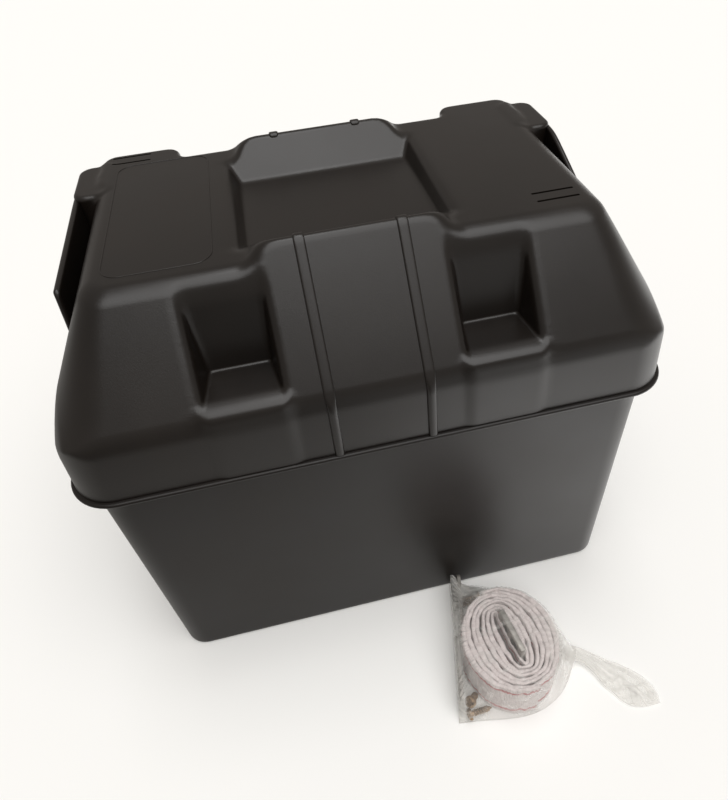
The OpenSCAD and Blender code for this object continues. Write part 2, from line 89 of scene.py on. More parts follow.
# Mesh helpers.
def makePiece(name, points, faces, body, slot, material, uv=None, gather=None, closed=True,
              crisp=None):
    # points in mm, faces a list of index arrays, uv and gather one value per vertex. An
    # open skin keeps its faces as they are, and edges that turn more than crisp degrees
    # stay sharp
    mesh = bpy.data.meshes.new(name)
    faces = [np.asarray(f, np.int32) for f in faces if len(f)]
    loops = np.concatenate([f.ravel() for f in faces])
    totals = np.concatenate([np.full(len(f), f.shape[1], np.int32) for f in faces])
    starts = np.concatenate([[0], np.cumsum(totals)[:-1]]).astype(np.int32)
    mesh.vertices.add(len(points))
    mesh.vertices.foreach_set("co", (np.asarray(points, np.float32) * mm).ravel())
    mesh.loops.add(len(loops))
    mesh.loops.foreach_set("vertex_index", loops)
    mesh.polygons.add(len(totals))
    mesh.polygons.foreach_set("loop_start", starts)
    mesh.polygons.foreach_set("use_smooth", np.full(len(totals), True))
    mesh.update(calc_edges=True)
    if uv is not None:
        layer = mesh.uv_layers.new(name="UVMap")
        layer.data.foreach_set("uv", np.asarray(uv, np.float32)[loops].ravel())
    mesh.validate()
    mesh.materials.append(material)
    if gather is not None:
        layer = mesh.attributes.new("gather", "FLOAT", "POINT")
        layer.data.foreach_set("value", gather.astype(np.float32))
    obj = addObject(name, mesh)
    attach(obj, body)
    if closed:
        facesOut(obj)
    if crisp:
        sharpen(obj, crisp)
    return obj


def gridFaces(nu, nv, closeU=False, closeV=False, first=0):
    # quads of a grid whose point (i, j) has the number first + i * nv + j
    i = np.arange(nu if closeU else nu - 1)
    j = np.arange(nv if closeV else nv - 1)
    i, j = [a.ravel() for a in np.meshgrid(i, j, indexing="ij")]
    i2, j2 = (i + 1) % nu, (j + 1) % nv
    return first + np.column_stack([i * nv + j, i2 * nv + j, i2 * nv + j2, i * nv + j2])


def capFaces(ring, centre, flip=False):
    # a fan from a closed ring of vertex numbers to one centre
    ring = np.asarray(ring)
    after = np.roll(ring, -1)
    fan = np.column_stack([ring, after, np.full(len(ring), centre)])
    return fan[:, ::-1] if flip else fan


def closedTube(rings):
    # rings: (n, m, 3) closed sections along a path, with a point at each end
    n, m = rings.shape[:2]
    points = np.vstack([rings.reshape(-1, 3), rings[0].mean(0), rings[-1].mean(0)])
    return points, [
        gridFaces(n, m, closeV=True),
        capFaces(np.arange(m), n * m),
        capFaces((n - 1) * m + np.arange(m), n * m + 1, flip=True),
    ]


def fourCorners(halfX, halfY, r, turn):
    # the quarter circles of a rounded rectangle, each over the angles in turn
    quarters = []
    for k, (sx, sy) in enumerate([(1, 1), (-1, 1), (-1, -1), (1, -1)]):
        a = turn + k * np.pi / 2
        x, y = sx * (halfX - r) + r * np.cos(a), sy * (halfY - r) + r * np.sin(a)
        quarters.append(np.stack([x, y], -1))
    return quarters


def mergeParts(parts):
    # many (points, faces) as one
    firsts = np.cumsum([0] + [len(points) for points, _ in parts])
    faces = [f + first for (_, each), first in zip(parts, firsts) for f in each]
    return np.vstack([points for points, _ in parts]), faces


def alongPath(path, step):
    # the same path with its points evenly spaced, and their distances along it
    run = np.concatenate([[0], np.cumsum(np.linalg.norm(np.diff(path, axis=0), axis=1))])
    at = np.linspace(0, run[-1], max(2, int(run[-1] / step)))
    return np.column_stack([np.interp(at, run, path[:, k]) for k in range(path.shape[1])]), at


def facesOut(obj):
    # doubles merged and every face turned outwards
    bm = bmesh.new()
    bm.from_mesh(obj.data)
    bmesh.ops.remove_doubles(bm, verts=bm.verts, dist=1e-7)
    bmesh.ops.recalc_face_normals(bm, faces=bm.faces)
    bm.to_mesh(obj.data)
    bm.free()


def sharpen(obj, degrees):
    # edges that turn more than this many degrees stay sharp, and the rest shade round
    bm = bmesh.new()
    bm.from_mesh(obj.data)
    for e in bm.edges:
        e.smooth = len(e.link_faces) == 2 and e.calc_face_angle(0) < np.radians(degrees)
    bm.to_mesh(obj.data)
    bm.free()


def applyModifiers(obj):
    # the mesh as its modifiers leave it
    depsgraph = bpy.context.evaluated_depsgraph_get()
    mesh = bpy.data.meshes.new_from_object(obj.evaluated_get(depsgraph))
    obj.modifiers.clear()
    old = obj.data
    obj.data = mesh
    bpy.data.meshes.remove(old)


# Finishes.
def toLinear(hexColour, alpha=1.0):
    # sRGB hex to linear: a straight line near black and a power of 2.4 above it
    s = np.array([int(hexColour[i:i + 2], 16) / 255 for i in (1, 3, 5)])
    linear = np.where(s <= 0.04045, s / 12.92, ((s + 0.055) / 1.055) ** 2.4)
    return (*linear, alpha)


def addNode(tree, kind, inputs=None, **settings):
    # one node: settings are its own options, inputs are values, sockets to link, or nodes,
    # which stand for their first output
    node = tree.nodes.new(kind)
    for key, value in settings.items():
        setattr(node, key, value)
    for key, value in (inputs or {}).items():
        if isinstance(value, bpy.types.Node):
            value = value.outputs[0]
        if isinstance(value, bpy.types.NodeSocket):
            tree.links.new(value, node.inputs[key])
        else:
            node.inputs[key].default_value = value
    return node


def newMaterial(name):
    # an empty material, its tree and its texture coordinates
    material = bpy.data.materials.new(name)
    material.use_nodes = True
    tree = material.node_tree
    tree.nodes.clear()
    return material, tree, addNode(tree, "ShaderNodeTexCoord")


def ramp(tree, factor, stops):
    # a colour ramp over factor: stops are (position, linear colour)
    node = addNode(tree, "ShaderNodeValToRGB", {"Fac": factor})
    elements = node.color_ramp.elements
    while len(elements) < len(stops):
        elements.new(0.5)
    for element, (position, colour) in zip(elements, stops):
        element.position, element.color = position, colour
    return node.outputs["Color"]


# Injection-moulded polypropylene, black with a little brown in it. The mould's fine
# spark grain breaks its gloss into a satin sheen. It is drawn at 0.7 mm, coarser than
# real, so that it shows. Broad cloudy patches in the sheen are flow and handling marks.
def mouldedPolypropylene(name, darkHex, lightHex, roughness, gloss=0.5, grain=0.7):
    material, tree, coords = newMaterial(name)
    place = coords.outputs["Object"]
    cloud = addNode(tree, "ShaderNodeTexNoise",
                    {"Vector": place, "Scale": 1000 / 55, "Detail": 3.0, "Roughness": 0.55})
    colour = ramp(tree, cloud,
                  [(0.30, toLinear(darkHex)), (0.72, toLinear(lightHex))])
    sheen = addNode(tree, "ShaderNodeMapRange",
                    {"Value": cloud, "From Min": 0.3, "From Max": 0.7,
                     "To Min": roughness - 0.035, "To Max": roughness + 0.045})
    fine = addNode(tree, "ShaderNodeTexNoise",
                   {"Vector": place, "Scale": 1000 / grain, "Detail": 2.0, "Roughness": 0.6})
    wave = addNode(tree, "ShaderNodeTexNoise",
                   {"Vector": place, "Scale": 1000 / 38, "Detail": 1.0})
    low = addNode(tree, "ShaderNodeBump",
                  {"Height": wave, "Strength": 0.10, "Distance": 0.0012})
    bump = addNode(tree, "ShaderNodeBump",
                   {"Height": fine, "Strength": 0.16, "Distance": 0.00018,
                    "Normal": low})
    shader = addNode(tree, "ShaderNodeBsdfPrincipled",
                     {"Base Color": colour, "Roughness": sheen,
                      "Normal": bump, "IOR": 1.49,
                      "Specular IOR Level": gloss})
    addNode(tree, "ShaderNodeOutputMaterial", {"Surface": shader})
    return material


waveUnit = 0.314  # a wave texture at a scale of 1 repeats in this many units

# Polyester webbing, plain woven white with a pink cast, soft and fuzzy at its edges.
# Weft ribs run across it and warp ends along it. Two red stitched lines run along its
# face and wander a little. Its UV map is in mm, so a noise of scale 0.35 has patches of
# about 3 mm.
def wovenWebbing(name, webbing):
    material, tree, coords = newMaterial(name)
    uv = coords.outputs["UV"]  # u along the strap in mm, v across it in mm
    split = addNode(tree, "ShaderNodeSeparateXYZ", {"Vector": uv})
    along, across = split.outputs["X"], split.outputs["Y"]
    wander = addNode(tree, "ShaderNodeTexNoise",
                     {"W": along, "Scale": 0.26, "Detail": 2.0, "Roughness": 0.6},
                     noise_dimensions="1D")
    drift = addNode(tree, "ShaderNodeMath",
                    {0: wander, 1: 0.5}, operation="SUBTRACT")
    shifted = addNode(tree, "ShaderNodeMath",
                      {0: drift, 1: webbing["stitchWander"], 2: across},
                      operation="MULTIPLY_ADD")
    centred = addNode(tree, "ShaderNodeMath",
                      {0: shifted, 1: webbing["width"] / 2}, operation="SUBTRACT")
    side = addNode(tree, "ShaderNodeMath", {0: centred}, operation="ABSOLUTE")
    off = addNode(tree, "ShaderNodeMath",
                  {0: side, 1: webbing["stitchSpacing"] / 2}, operation="SUBTRACT")
    near = addNode(tree, "ShaderNodeMath", {0: off}, operation="ABSOLUTE")
    thread = addNode(tree, "ShaderNodeMapRange",
                     {"Value": near, "From Min": webbing["stitchWidth"] / 2,
                      "From Max": webbing["stitchWidth"] / 2 + 0.3, "To Min": 1.0, "To Max": 0.0},
                     interpolation_type="SMOOTHSTEP")
    dash = addNode(tree, "ShaderNodeTexWave",
                   {"Vector": uv, "Scale": waveUnit / webbing["stitchPitch"],
                    "Distortion": 0.6, "Detail": 1.0})
    dashed = addNode(tree, "ShaderNodeMapRange",
                     {"Value": dash.outputs["Fac"], "From Min": 0.0, "From Max": 0.6,
                      "To Min": 0.75, "To Max": 1.0})
    red = addNode(tree, "ShaderNodeMath",
                  {0: thread, 1: dashed}, operation="MULTIPLY")
    shade = addNode(tree, "ShaderNodeTexNoise",
                    {"Vector": uv, "Scale": 0.35, "Detail": 4.0, "Roughness": 0.65})
    cloth = ramp(tree, shade,
                 [(0.30, toLinear(webbing["shadeHex"])), (0.62, toLinear(webbing["clothHex"]))])
    colour = addNode(tree, "ShaderNodeMix",
                     {"Factor": red, 6: cloth, 7: toLinear(webbing["threadHex"])},
                     data_type="RGBA")
    weft = addNode(tree, "ShaderNodeTexWave",
                   {"Vector": uv, "Scale": waveUnit / webbing["weft"], "Distortion": 1.2,
                    "Detail": 1.0, "Detail Scale": 0.6})
    warp = addNode(tree, "ShaderNodeTexWave",
                   {"Vector": uv, "Scale": waveUnit / webbing["warp"], "Distortion": 0.8,
                    "Detail": 1.0},
                   bands_direction="Y")
    weave = addNode(tree, "ShaderNodeMath",
                    {0: weft.outputs["Fac"], 1: warp.outputs["Fac"]}, operation="MULTIPLY")
    fuzz = addNode(tree, "ShaderNodeTexNoise",
                   {"Vector": uv, "Scale": 0.9, "Detail": 5.0, "Roughness": 0.7})
    height = addNode(tree, "ShaderNodeMath",
                     {0: fuzz, 1: 1.4, 2: weave},
                     operation="MULTIPLY_ADD")
    bump = addNode(tree, "ShaderNodeBump",
                   {"Height": height, "Strength": 0.55, "Distance": 0.0005})
    shader = addNode(tree, "ShaderNodeBsdfPrincipled",
                     {"Base Color": colour.outputs[2], "Roughness": 0.85, "IOR": 1.5,
                      "Normal": bump, "Sheen Weight": 0.25,
                      "Sheen Roughness": 0.5, "Specular IOR Level": 0.25})
    addNode(tree, "ShaderNodeOutputMaterial", {"Surface": shader})
    return material


# Zinc-plated steel, stamped, dull grey. Cloudy crystals of 3 to 5 mm in the zinc and
# fine drawn scratches from the tumbler.
def zincPlatedSteel(name, darkHex, lightHex, roughness):
    material, tree, coords = newMaterial(name)
    place = coords.outputs["Object"]
    cloud = addNode(tree, "ShaderNodeTexNoise",
                    {"Vector": place, "Scale": 1000 / 4, "Detail": 3.0, "Roughness": 0.6})
    colour = ramp(tree, cloud,
                  [(0.35, toLinear(darkHex)), (0.68, toLinear(lightHex))])
    scratch = addNode(tree, "ShaderNodeTexNoise",
                      {"Vector": place, "Scale": 1000 / 0.9, "Detail": 4.0, "Roughness": 0.75})
    rough = addNode(tree, "ShaderNodeMapRange",
                    {"Value": scratch, "From Min": 0.3, "From Max": 0.7,
                     "To Min": roughness - 0.08, "To Max": roughness + 0.1})
    bump = addNode(tree, "ShaderNodeBump",
                   {"Height": scratch, "Strength": 0.2, "Distance": 0.0001})
    shader = addNode(tree, "ShaderNodeBsdfPrincipled",
                     {"Base Color": colour, "Metallic": 0.7, "Normal": bump,
                      "Roughness": rough})
    addNode(tree, "ShaderNodeOutputMaterial", {"Surface": shader})
    return material


# Clear polyethylene film, 0.05 mm, creased and gathered. It is milky where it is seen edge on.
# Thin white lines from a noise are painted glints along its creases, with some of the real
# whitening of folded film in them; the flat film stays see-through.
def clearFilm(name, film):
    material, tree, coords = newMaterial(name)
    place = coords.outputs["Object"]
    creaseGlint = addNode(tree, "ShaderNodeTexNoise",
                     {"Vector": place, "Scale": 1000 / 28, "Detail": 2.0, "Roughness": 0.45,
                      "Distortion": 0.7})
    fold = addNode(tree, "ShaderNodeMath", {0: creaseGlint, 1: 0.5}, operation="SUBTRACT")
    ridge = addNode(tree, "ShaderNodeMath", {0: fold}, operation="ABSOLUTE")
    # painted glints: thin white lines where the noise crosses its middle, partly real fold whitening
    milky = addNode(tree, "ShaderNodeMapRange",
                    {"Value": ridge, "From Min": 0.0, "From Max": 0.035,
                     "To Min": film["glintCreaseAlpha"], "To Max": film["flatAlpha"]},
                    interpolation_type="SMOOTHSTEP")
    facing = addNode(tree, "ShaderNodeLayerWeight", {"Blend": 0.25})
    edge = addNode(tree, "ShaderNodeMath",
                   {0: facing.outputs["Facing"], 1: film["edgeAlpha"], 2: milky},
                   operation="MULTIPLY_ADD")
    # gather: milky where the film is gathered, sealed or doubled up, and on the tail's fold also a
    # painted highlight
    gathered = addNode(tree, "ShaderNodeAttribute", attribute_name="gather")
    alpha = addNode(tree, "ShaderNodeMath",
                    {0: gathered.outputs["Fac"], 1: film["tailAlpha"], 2: edge},
                    operation="MULTIPLY_ADD", use_clamp=True)
    small = addNode(tree, "ShaderNodeTexNoise",
                    {"Vector": place, "Scale": 1000 / 5, "Detail": 2.0, "Roughness": 0.5,
                     "Distortion": 0.6})
    bump = addNode(tree, "ShaderNodeBump",
                   {"Height": small, "Strength": 0.4, "Distance": 0.0008})
    shader = addNode(tree, "ShaderNodeBsdfPrincipled",
                     {"Base Color": toLinear(film["hex"]), "Roughness": 0.16, "IOR": 1.51,
                      "Alpha": alpha, "Normal": bump})
    addNode(tree, "ShaderNodeOutputMaterial", {"Surface": shader})
    return material


lidPlastic = mouldedPolypropylene("black moulded polypropylene, lid", "#130f0c", "#191410", 0.34)
tubPlastic = mouldedPolypropylene("black moulded polypropylene, tub", "#120e0c", "#18130f", 0.37, 0.36)
steel = zincPlatedSteel("zinc-plated steel, buckle and brackets", "#8e8a85", "#aca8a2", 0.5)
screwMetal = zincPlatedSteel("yellow-passivated steel, screws", "#6f5a44", "#9a8062", 0.45)
print("materials made")


# Distance fields.
# Each field gives roughly the distance in mm from a surface, negative inside.
def meet(a, b, r):
    # where both hold, with the outer edge rounded to r
    return np.minimum(np.maximum(a, b), -r) + np.hypot(np.maximum(a + r, 0), np.maximum(b + r, 0))


def join(a, b, r):
    # where either holds, with the inner corner filled to r
    return -meet(-a, -b, r)


def plate(x, y, halfX, halfY, r):
    # a rounded rectangle
    qx, qy = np.abs(x) - halfX + r, np.abs(y) - halfY + r
    return np.hypot(np.maximum(qx, 0), np.maximum(qy, 0)) + np.minimum(np.maximum(qx, qy), 0) - r


def surfaceNet(field, xs, ys, zs):
    # one vertex in each cell that the surface crosses, at the middle of its crossings,
    # and one quad round each grid line that changes side
    v = field(*np.meshgrid(xs, ys, zs, indexing="ij"))
    inside = v < 0
    corners = [(a, b, c) for a in (0, 1) for b in (0, 1) for c in (0, 1)]
    shape = [s - 1 for s in v.shape]
    count = sum(inside[a:a + shape[0], b:b + shape[1], c:c + shape[2]].astype(np.int8)
                for a, b, c in corners)
    cells = np.argwhere((count > 0) & (count < 8))
    number = np.full(shape, -1, np.int64)
    number[tuple(cells.T)] = np.arange(len(cells))
    total, hits = np.zeros((len(cells), 3)), np.zeros(len(cells))
    lines = (xs, ys, zs)
    for axis in range(3):
        for corner in corners:
            if corner[axis]:
                continue
            p = cells + corner
            q = p.copy()
            q[:, axis] += 1
            vp, vq = v[tuple(p.T)], v[tuple(q.T)]
            cross = (vp < 0) != (vq < 0)
            t = np.where(cross, vp / np.where(cross, vp - vq, 1), 0)
            for k in range(3):
                start, end = lines[k][p[:, k]], lines[k][q[:, k]]
                total[:, k] += np.where(cross, start + t * (end - start), 0)
            hits += cross
    points = total / hits[:, None]
    quads = []
    for axis in range(3):
        b, c = (axis + 1) % 3, (axis + 2) % 3
        low = np.take(inside, range(v.shape[axis] - 1), axis=axis)
        high = np.take(inside, range(1, v.shape[axis]), axis=axis)
        edges = np.argwhere(low != high)
        edges = edges[(edges[:, b] > 0) & (edges[:, b] < v.shape[b] - 1)
                      & (edges[:, c] > 0) & (edges[:, c] < v.shape[c] - 1)]
        outward = low[tuple(edges.T)]
        ring = []
        for db, dc in ((-1, -1), (0, -1), (0, 0), (-1, 0)):
            e = edges.copy()
            e[:, b] += db
            e[:, c] += dc
            ring.append(number[tuple(e.T)])
        ring = np.column_stack(ring)
        quads.append(np.where(outward[:, None], ring, ring[:, ::-1]))
    return points, np.vstack(quads)


def slopeOf(field, p, step=0.05):
    # central differences
    return np.column_stack([
        field(*(p + step * e).T) - field(*(p - step * e).T) for e in np.eye(3)]) / (2 * step)


def settle(field, p, rounds=5, flat=False):
    # Newton steps along the slope bring each point onto the surface
    p = p.copy()
    for _ in range(rounds):
        g = slopeOf(field, p)
        if flat:
            g[:, 2] = 0
        size = np.maximum((g * g).sum(1), 0.05)
        move = (field(*p.T) / size)[:, None] * g
        p -= np.clip(move, -0.8, 0.8)
    return p


def spaced(*spans):
    # grid lines: spans are (start, step), the last start closes the row
    rows = [np.linspace(a, b, max(2, int(round((b - a) / step)) + 1))[:-1]
            for (a, step), (b, _) in zip(spans[:-1], spans[1:])]
    return np.concatenate(rows + [[spans[-1][0]]])


# The lid.
lid = {
    "foot": (150.2, 104.2, 166.3),  # half length, half depth and height of the skirt's edge
    "shoulder": (149.1, 103.1, 199.7),
    "run": (29.6, 38.2, 52.6),  # run of the end slope, of the front slope, and their rise
    "cornerLow": 22.0, "cornerHigh": 11.0,
    "shoulderRound": (7.5, 3.4), "browRound": 5.2, "browDrop": 2.8, "wall": 2.8,
    "crestTop": 261.2, "crestHalf": 38.5, "crestRun": 9.5,
    "crestRound": 3.2, "crestEndRound": 5.0, "crestFootRound": 2.0,
    "troughFloor": 244.0, "troughHalf": (46.5, 35.5), "troughLean": 5.5 / 8.3,
    "troughReach": 58.4, "troughRound": (1.6, 1.2), "troughEdge": 1.5, "troughWiden": (40, 8),
    "pocketX": 60.7, "pocketFloor": 207.0, "pocketBack": 74.0, "pocketBelly": 6.4,
    "pocketHalf": (14.5, 19.0), "pocketSpread": (32, 42, 1.15), "pocketHeight": 41,
    "pocketCurve": 1.7, "frontY": -40,
    "creaseRound": 1.1, "cornerRound": 2.2, "mouthRound": 3.8,
    "lipHalf": 20.6, "lipTop": 206.4, "lipOut": 103.2, "lipRound": 6.0, "lipEndRound": 4.5,
    "lipJoin": 4.0,
    "bumpX": 99.5, "bumpHalf": 21.5, "bumpY": (40.0, 79.5), "bumpRound": 8.0, "bumpJoin": 5.0,
    "bumpLean": (248, 0.19, 6),  # leans out below this height, at this rate, this far
    "bumpSpread": 0.6,  # share of that on its two ends
    "browFade": (40, 15), "crestFade": (1.5, 5),  # where a change of rounding starts, over how far
    "gripTop": 251.2, "padX": (113.0, 134.3), "padY": (33.0, 71.5),
    "padCorner": 7.5, "padRound": 2.2, "padJoin": 3.0,
}
plateauZ = lid["shoulder"][2] + lid["run"][2]


def lidSides(x, y, z):
    # skirt and slopes meet in a round shoulder, and the corners' radius shrinks upwards
    ax, ay = np.abs(x), np.abs(y)
    footX, footY, footZ = lid["foot"]
    shX, shY, shZ = lid["shoulder"]
    runX, runY, rise = lid["run"]
    lean = (z - footZ) / (shZ - footZ)
    skirtX, skirtY = ax - footX + (footX - shX) * lean, ay - footY + (footY - shY) * lean
    up = (z - shZ) / rise
    slopeX = (ax - shX + runX * up) * rise / np.hypot(rise, runX)
    slopeY = (ay - shY + runY * up) * rise / np.hypot(rise, runY)
    sideX = meet(skirtX, slopeX, lid["shoulderRound"][0])
    sideY = meet(skirtY, slopeY, lid["shoulderRound"][1])
    t = np.clip(up, 0, 1)
    r = lid["cornerLow"] + (lid["cornerHigh"] - lid["cornerLow"]) * t * t * (3 - 2 * t)
    return meet(sideX, sideY, r)


def lidTop(x, y, z):
    # the plateau with two crests on it, and the strap's trough cut between them
    ax, ay = np.abs(x), np.abs(y)
    crestH = lid["crestTop"] - plateauZ
    run = lid["crestRun"]
    ends = ((ax - lid["crestHalf"] - run) * crestH + (z - plateauZ) * run) / np.hypot(crestH, run)
    crest = meet(z - lid["crestTop"], ends, lid["crestEndRound"])
    upper = join(z - plateauZ, crest, lid["crestFootRound"])
    floorZ = lid["troughFloor"]
    halfX, halfY = lid["troughHalf"]
    lean = lid["troughLean"]
    wallX = (ax - halfX - (z - floorZ) * lean) / np.hypot(1, lean)
    ramp = (lid["troughReach"] - halfY) / (lid["crestTop"] - floorZ)
    wallY = (ay - halfY - (z - floorZ) * ramp) / np.hypot(1, ramp)
    corner, foot = lid["troughRound"]
    hollow = meet(meet(wallX, wallY, corner), floorZ - z, foot)
    edge = lid["troughEdge"]
    start, over = lid["troughWiden"]
    return meet(upper, -hollow, edge + edge * np.clip((ax - start) / over, 0, 1))


def lidPockets(x, y, z):
    # a finger pocket on each side of the front slope, narrow at its foot
    dx = np.abs(np.abs(x) - lid["pocketX"])
    low, high = lid["pocketHalf"]
    overY, overZ, most = lid["pocketSpread"]
    spread = np.clip((-y - lid["pocketBack"]) / overY + (z - lid["pocketFloor"]) / overZ, 0, most)
    side = (dx - low - (high - low) * spread) * 0.98
    # the back wall stands upright at the floor and leans back more and more above it
    height = np.clip((z - lid["pocketFloor"]) / lid["pocketHeight"], 0, 1.4)
    back = y + lid["pocketBack"] - lid["pocketBelly"] * height ** lid["pocketCurve"]
    hollow = meet(meet(side, back, lid["cornerRound"]), lid["pocketFloor"] - z, lid["creaseRound"])
    # the floor runs out over the shoulder in a thick rounded lip, a little wider than it
    lip = meet(dx - lid["lipHalf"], z - lid["lipTop"], lid["lipEndRound"])
    lip = meet(lip, -y - lid["lipOut"], lid["lipRound"])
    return hollow, lip


def lidGrips(x, y, z):
    # the solid pad behind each grip
    y0, y1 = lid["padY"]
    x0, x1 = lid["padX"]
    pad = plate(np.abs(x) - (x0 + x1) / 2, y - (y0 + y1) / 2, (x1 - x0) / 2, (y1 - y0) / 2,
                lid["padCorner"])
    return meet(pad, z - lid["gripTop"], lid["padRound"])


def lidField(x, y, z):
    # sides and top meet in a round brow, then pads, lips and pockets are added and cut
    side = lidSides(x, y, z)
    # rear bumps run out behind the plateau and lean out downwards
    below, rate, most = lid["bumpLean"]
    out = np.clip((below - z) * rate, 0, most)
    y0, y1 = lid["bumpY"][0], lid["bumpY"][1] + out
    bump = plate(np.abs(x) - lid["bumpX"], y - (y0 + y1) / 2,
                 lid["bumpHalf"] + out * lid["bumpSpread"], (y1 - y0) / 2, lid["bumpRound"])
    side = join(side, bump, lid["bumpJoin"])
    # the brow's rounding is less at the rear, and less again up on the crests
    (rear, overY), (above, overZ) = lid["browFade"], lid["crestFade"]
    up = np.clip((z - plateauZ - above) / overZ, 0, 1)
    brow = lid["browRound"] - lid["browDrop"] * np.clip((y - rear) / overY, 0, 1)
    brow = brow + (lid["crestRound"] - brow) * up
    body = meet(side, lidTop(x, y, z), brow)
    body = join(body, lidGrips(x, y, z), lid["padJoin"])
    pocket, lip = lidPockets(x, y, z)
    front = meet(join(body, lip, lid["lipJoin"]), -pocket, lid["mouthRound"])
    return np.where(y < lid["frontY"], front, body)


def shellOf(field, xs, ys, zs):
    # the outer skin, open below, whose lowest ring is brought to the skirt's edge
    points, quads = surfaceNet(field, xs, ys, zs)
    points = settle(field, points)
    points[:, 2] = np.maximum(points[:, 2], zs[0])
    edges = np.sort(np.vstack([quads[:, [i, (i + 1) % 4]] for i in range(4)]), axis=1)
    unique, counts = np.unique(edges, axis=0, return_counts=True)
    rim = np.unique(unique[counts == 1])
    points[rim, 2] = zs[0]
    points[rim] = settle(field, points[rim], flat=True)
    return points, quads


# grid lines in mm, close together where the lid turns quickly
halfXs = [(0, 4.5), (36, 1.3), (54, 3.6), (70, 1.9), (83, 4.0), (106, 2.2),
          (116, 1.2), (136, 1.5), (142, 1.3), (152, 1.0)]
xsRight = spaced(*halfXs)
lidXs = np.concatenate([-xsRight[:0:-1], xsRight])
lidYs = spaced((-106, 1.0), (-94, 2.2), (-80, 1.2), (-76.5, 0.7), (-70, 1.3), (-32, 4.5),
               (28, 1.3), (42, 1.5), (58, 1.1), (84, 2.2), (94, 1.2), (106, 1.0))
lidZs = spaced((lid["foot"][2], 4.0), (190, 2.0), (196, 1.0), (204, 0.6), (210, 1.1), (213, 2.6),
               (234, 1.4), (246, 1.0), (263, 1.0))
lidPoints, lidQuads = shellOf(lidField, lidXs, lidYs, lidZs)
lidShell = makePiece("lid_shell", lidPoints, [lidQuads], "lid", "lid_plastic", lidPlastic,
                     closed=False)
print("lid skin:", len(lidPoints), "points,", len(lidQuads), "quads")


def addWall(obj, thickness):
    # the skin gets its thickness inwards
    wall = obj.modifiers.new("wall", "SOLIDIFY")
    wall.thickness, wall.offset = thickness * mm, -1
    applyModifiers(obj)


vents = {"length": 21.5, "width": 1.5, "above": 4, "depth": 14.0,
         "middles": [(101.3, -43.4), (101.3, -51.2), (-104.8, 67.0), (-104.8, 74.8)]}


def cutVents(obj, v):
    # round-ended slots through the plateau, each cut by a closed prism
    turn = np.linspace(0, np.pi, 9)
    r = v["width"] / 2
    end = v["length"] / 2 - r
    outline = np.vstack([
        np.column_stack([end + r * np.sin(turn), -r * np.cos(turn)]),
        np.column_stack([-end - r * np.sin(turn), r * np.cos(turn)])])
    n = len(outline)
    points, sides, caps = [], [], []
    for k, middle in enumerate(v["middles"]):
        points += [np.column_stack([outline + middle, np.full(n, plateauZ + z)])
                   for z in (v["above"], -v["depth"])]
        top = 2 * n * k + np.arange(n)
        sides += gridFaces(2, n, closeV=True, first=2 * n * k).tolist()
        caps += [top.tolist(), (top + n)[::-1].tolist()]
    cutter = bpy.data.meshes.new("vent_cutter")
    cutter.from_pydata((np.vstack(points) * mm).tolist(), [], sides + caps)
    tool = addObject("vent_cutter", cutter)
    facesOut(tool)
    cut = obj.modifiers.new("vents", "BOOLEAN")
    cut.object, cut.operation, cut.solver = tool, "DIFFERENCE", "EXACT"
    applyModifiers(obj)
    bpy.data.objects.remove(tool)


addWall(lidShell, lid["wall"])
cutVents(lidShell, vents)
sharpen(lidShell, 50)
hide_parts("lid")
print("lid shell:", len(lidShell.data.polygons), "faces")

grips = {
    "outside": 134.3, "thick": 3.0, "from": 38.0, "sunk": 2.4, "soft": 6, "pivotZ": 229,
    "end": (0.975, 0.0251, 2.5),  # the left wall's round end: start, length and drop
    # height at the pad, rate of fall, where the fall starts, front edge, lean of that edge
    "left": (249.5, 0.04, 33, -50.0, 0.20),
    "right": (249.7, 0.405, 29, -27.0, 0.0),
}


def makeGrips(g):
    # a thin wall with a round top runs forward from each pad. Its section goes up the
    # outside, over a half circle and down the inside, and its foot follows the end slope
    n, r = 90, g["thick"] / 2
    turn = np.linspace(0, np.pi, 11)
    side, rise = np.linspace(0, 1, 9)[:-1], lid["run"][2] / lid["run"][0]
    across = np.concatenate([np.ones(8), np.cos(turn), -np.ones(8)])
    up = np.concatenate([side, np.ones(11), side[::-1]])
    crown = np.concatenate([np.zeros(8), np.sin(turn), np.zeros(8)])
    u = np.sin(np.linspace(0, np.pi / 2, n))[:, None]
    parts = []
    for sx, (top, fall, start, front, lean) in ((-1, g["left"]), (1, g["right"])):
        y = g["from"] + u * (front - g["from"])
        t = y - start
        ridge = top + fall * (t - np.sqrt(t * t + g["soft"] ** 2)) / 2
        # the left wall ends in a round edge, and the right one runs out on the slope
        begin, length, drop = g["end"]
        blunt = np.sqrt(1 - np.clip((u - begin) / length, 0, 1) ** 2) if lean else np.ones((n, 1))
        x = g["outside"] - r + r * across * blunt
        foot = lid["shoulder"][2] + (lid["shoulder"][0] - x) * rise - g["sunk"]
        z = foot + (ridge - r - foot) * up + r * crown * blunt - drop * (1 - blunt) * up
        y = y + lean * u * (z - g["pivotZ"])
        parts.append(closedTube(np.stack([sx * x, np.broadcast_to(y, x.shape), z], 2)))
    makePiece("lid_grip_walls", *mergeParts(parts), "lid", "lid_plastic", lidPlastic, crisp=50)


makeGrips(grips)
print("grip walls made")

ribs = {
    "pitch": 46.6, "sunk": 0.5, "nose": 2.6, "buried": 1.1, "spacing": 0.9, "samples": 400,
    "change": (3, 6),  # starts this far before the shoulder, and takes this long
    "slope": (5.2, 0.95, 0.42),  # width, height and how square the profile is, 1 for half round
    "skirt": (4.8, 1.7, 0.80),
    "outline": [(54.6, 258.6), (58.0, 261.6), (59.4, 260), (103.1, 199.7), (104.2, 166.5)],
}


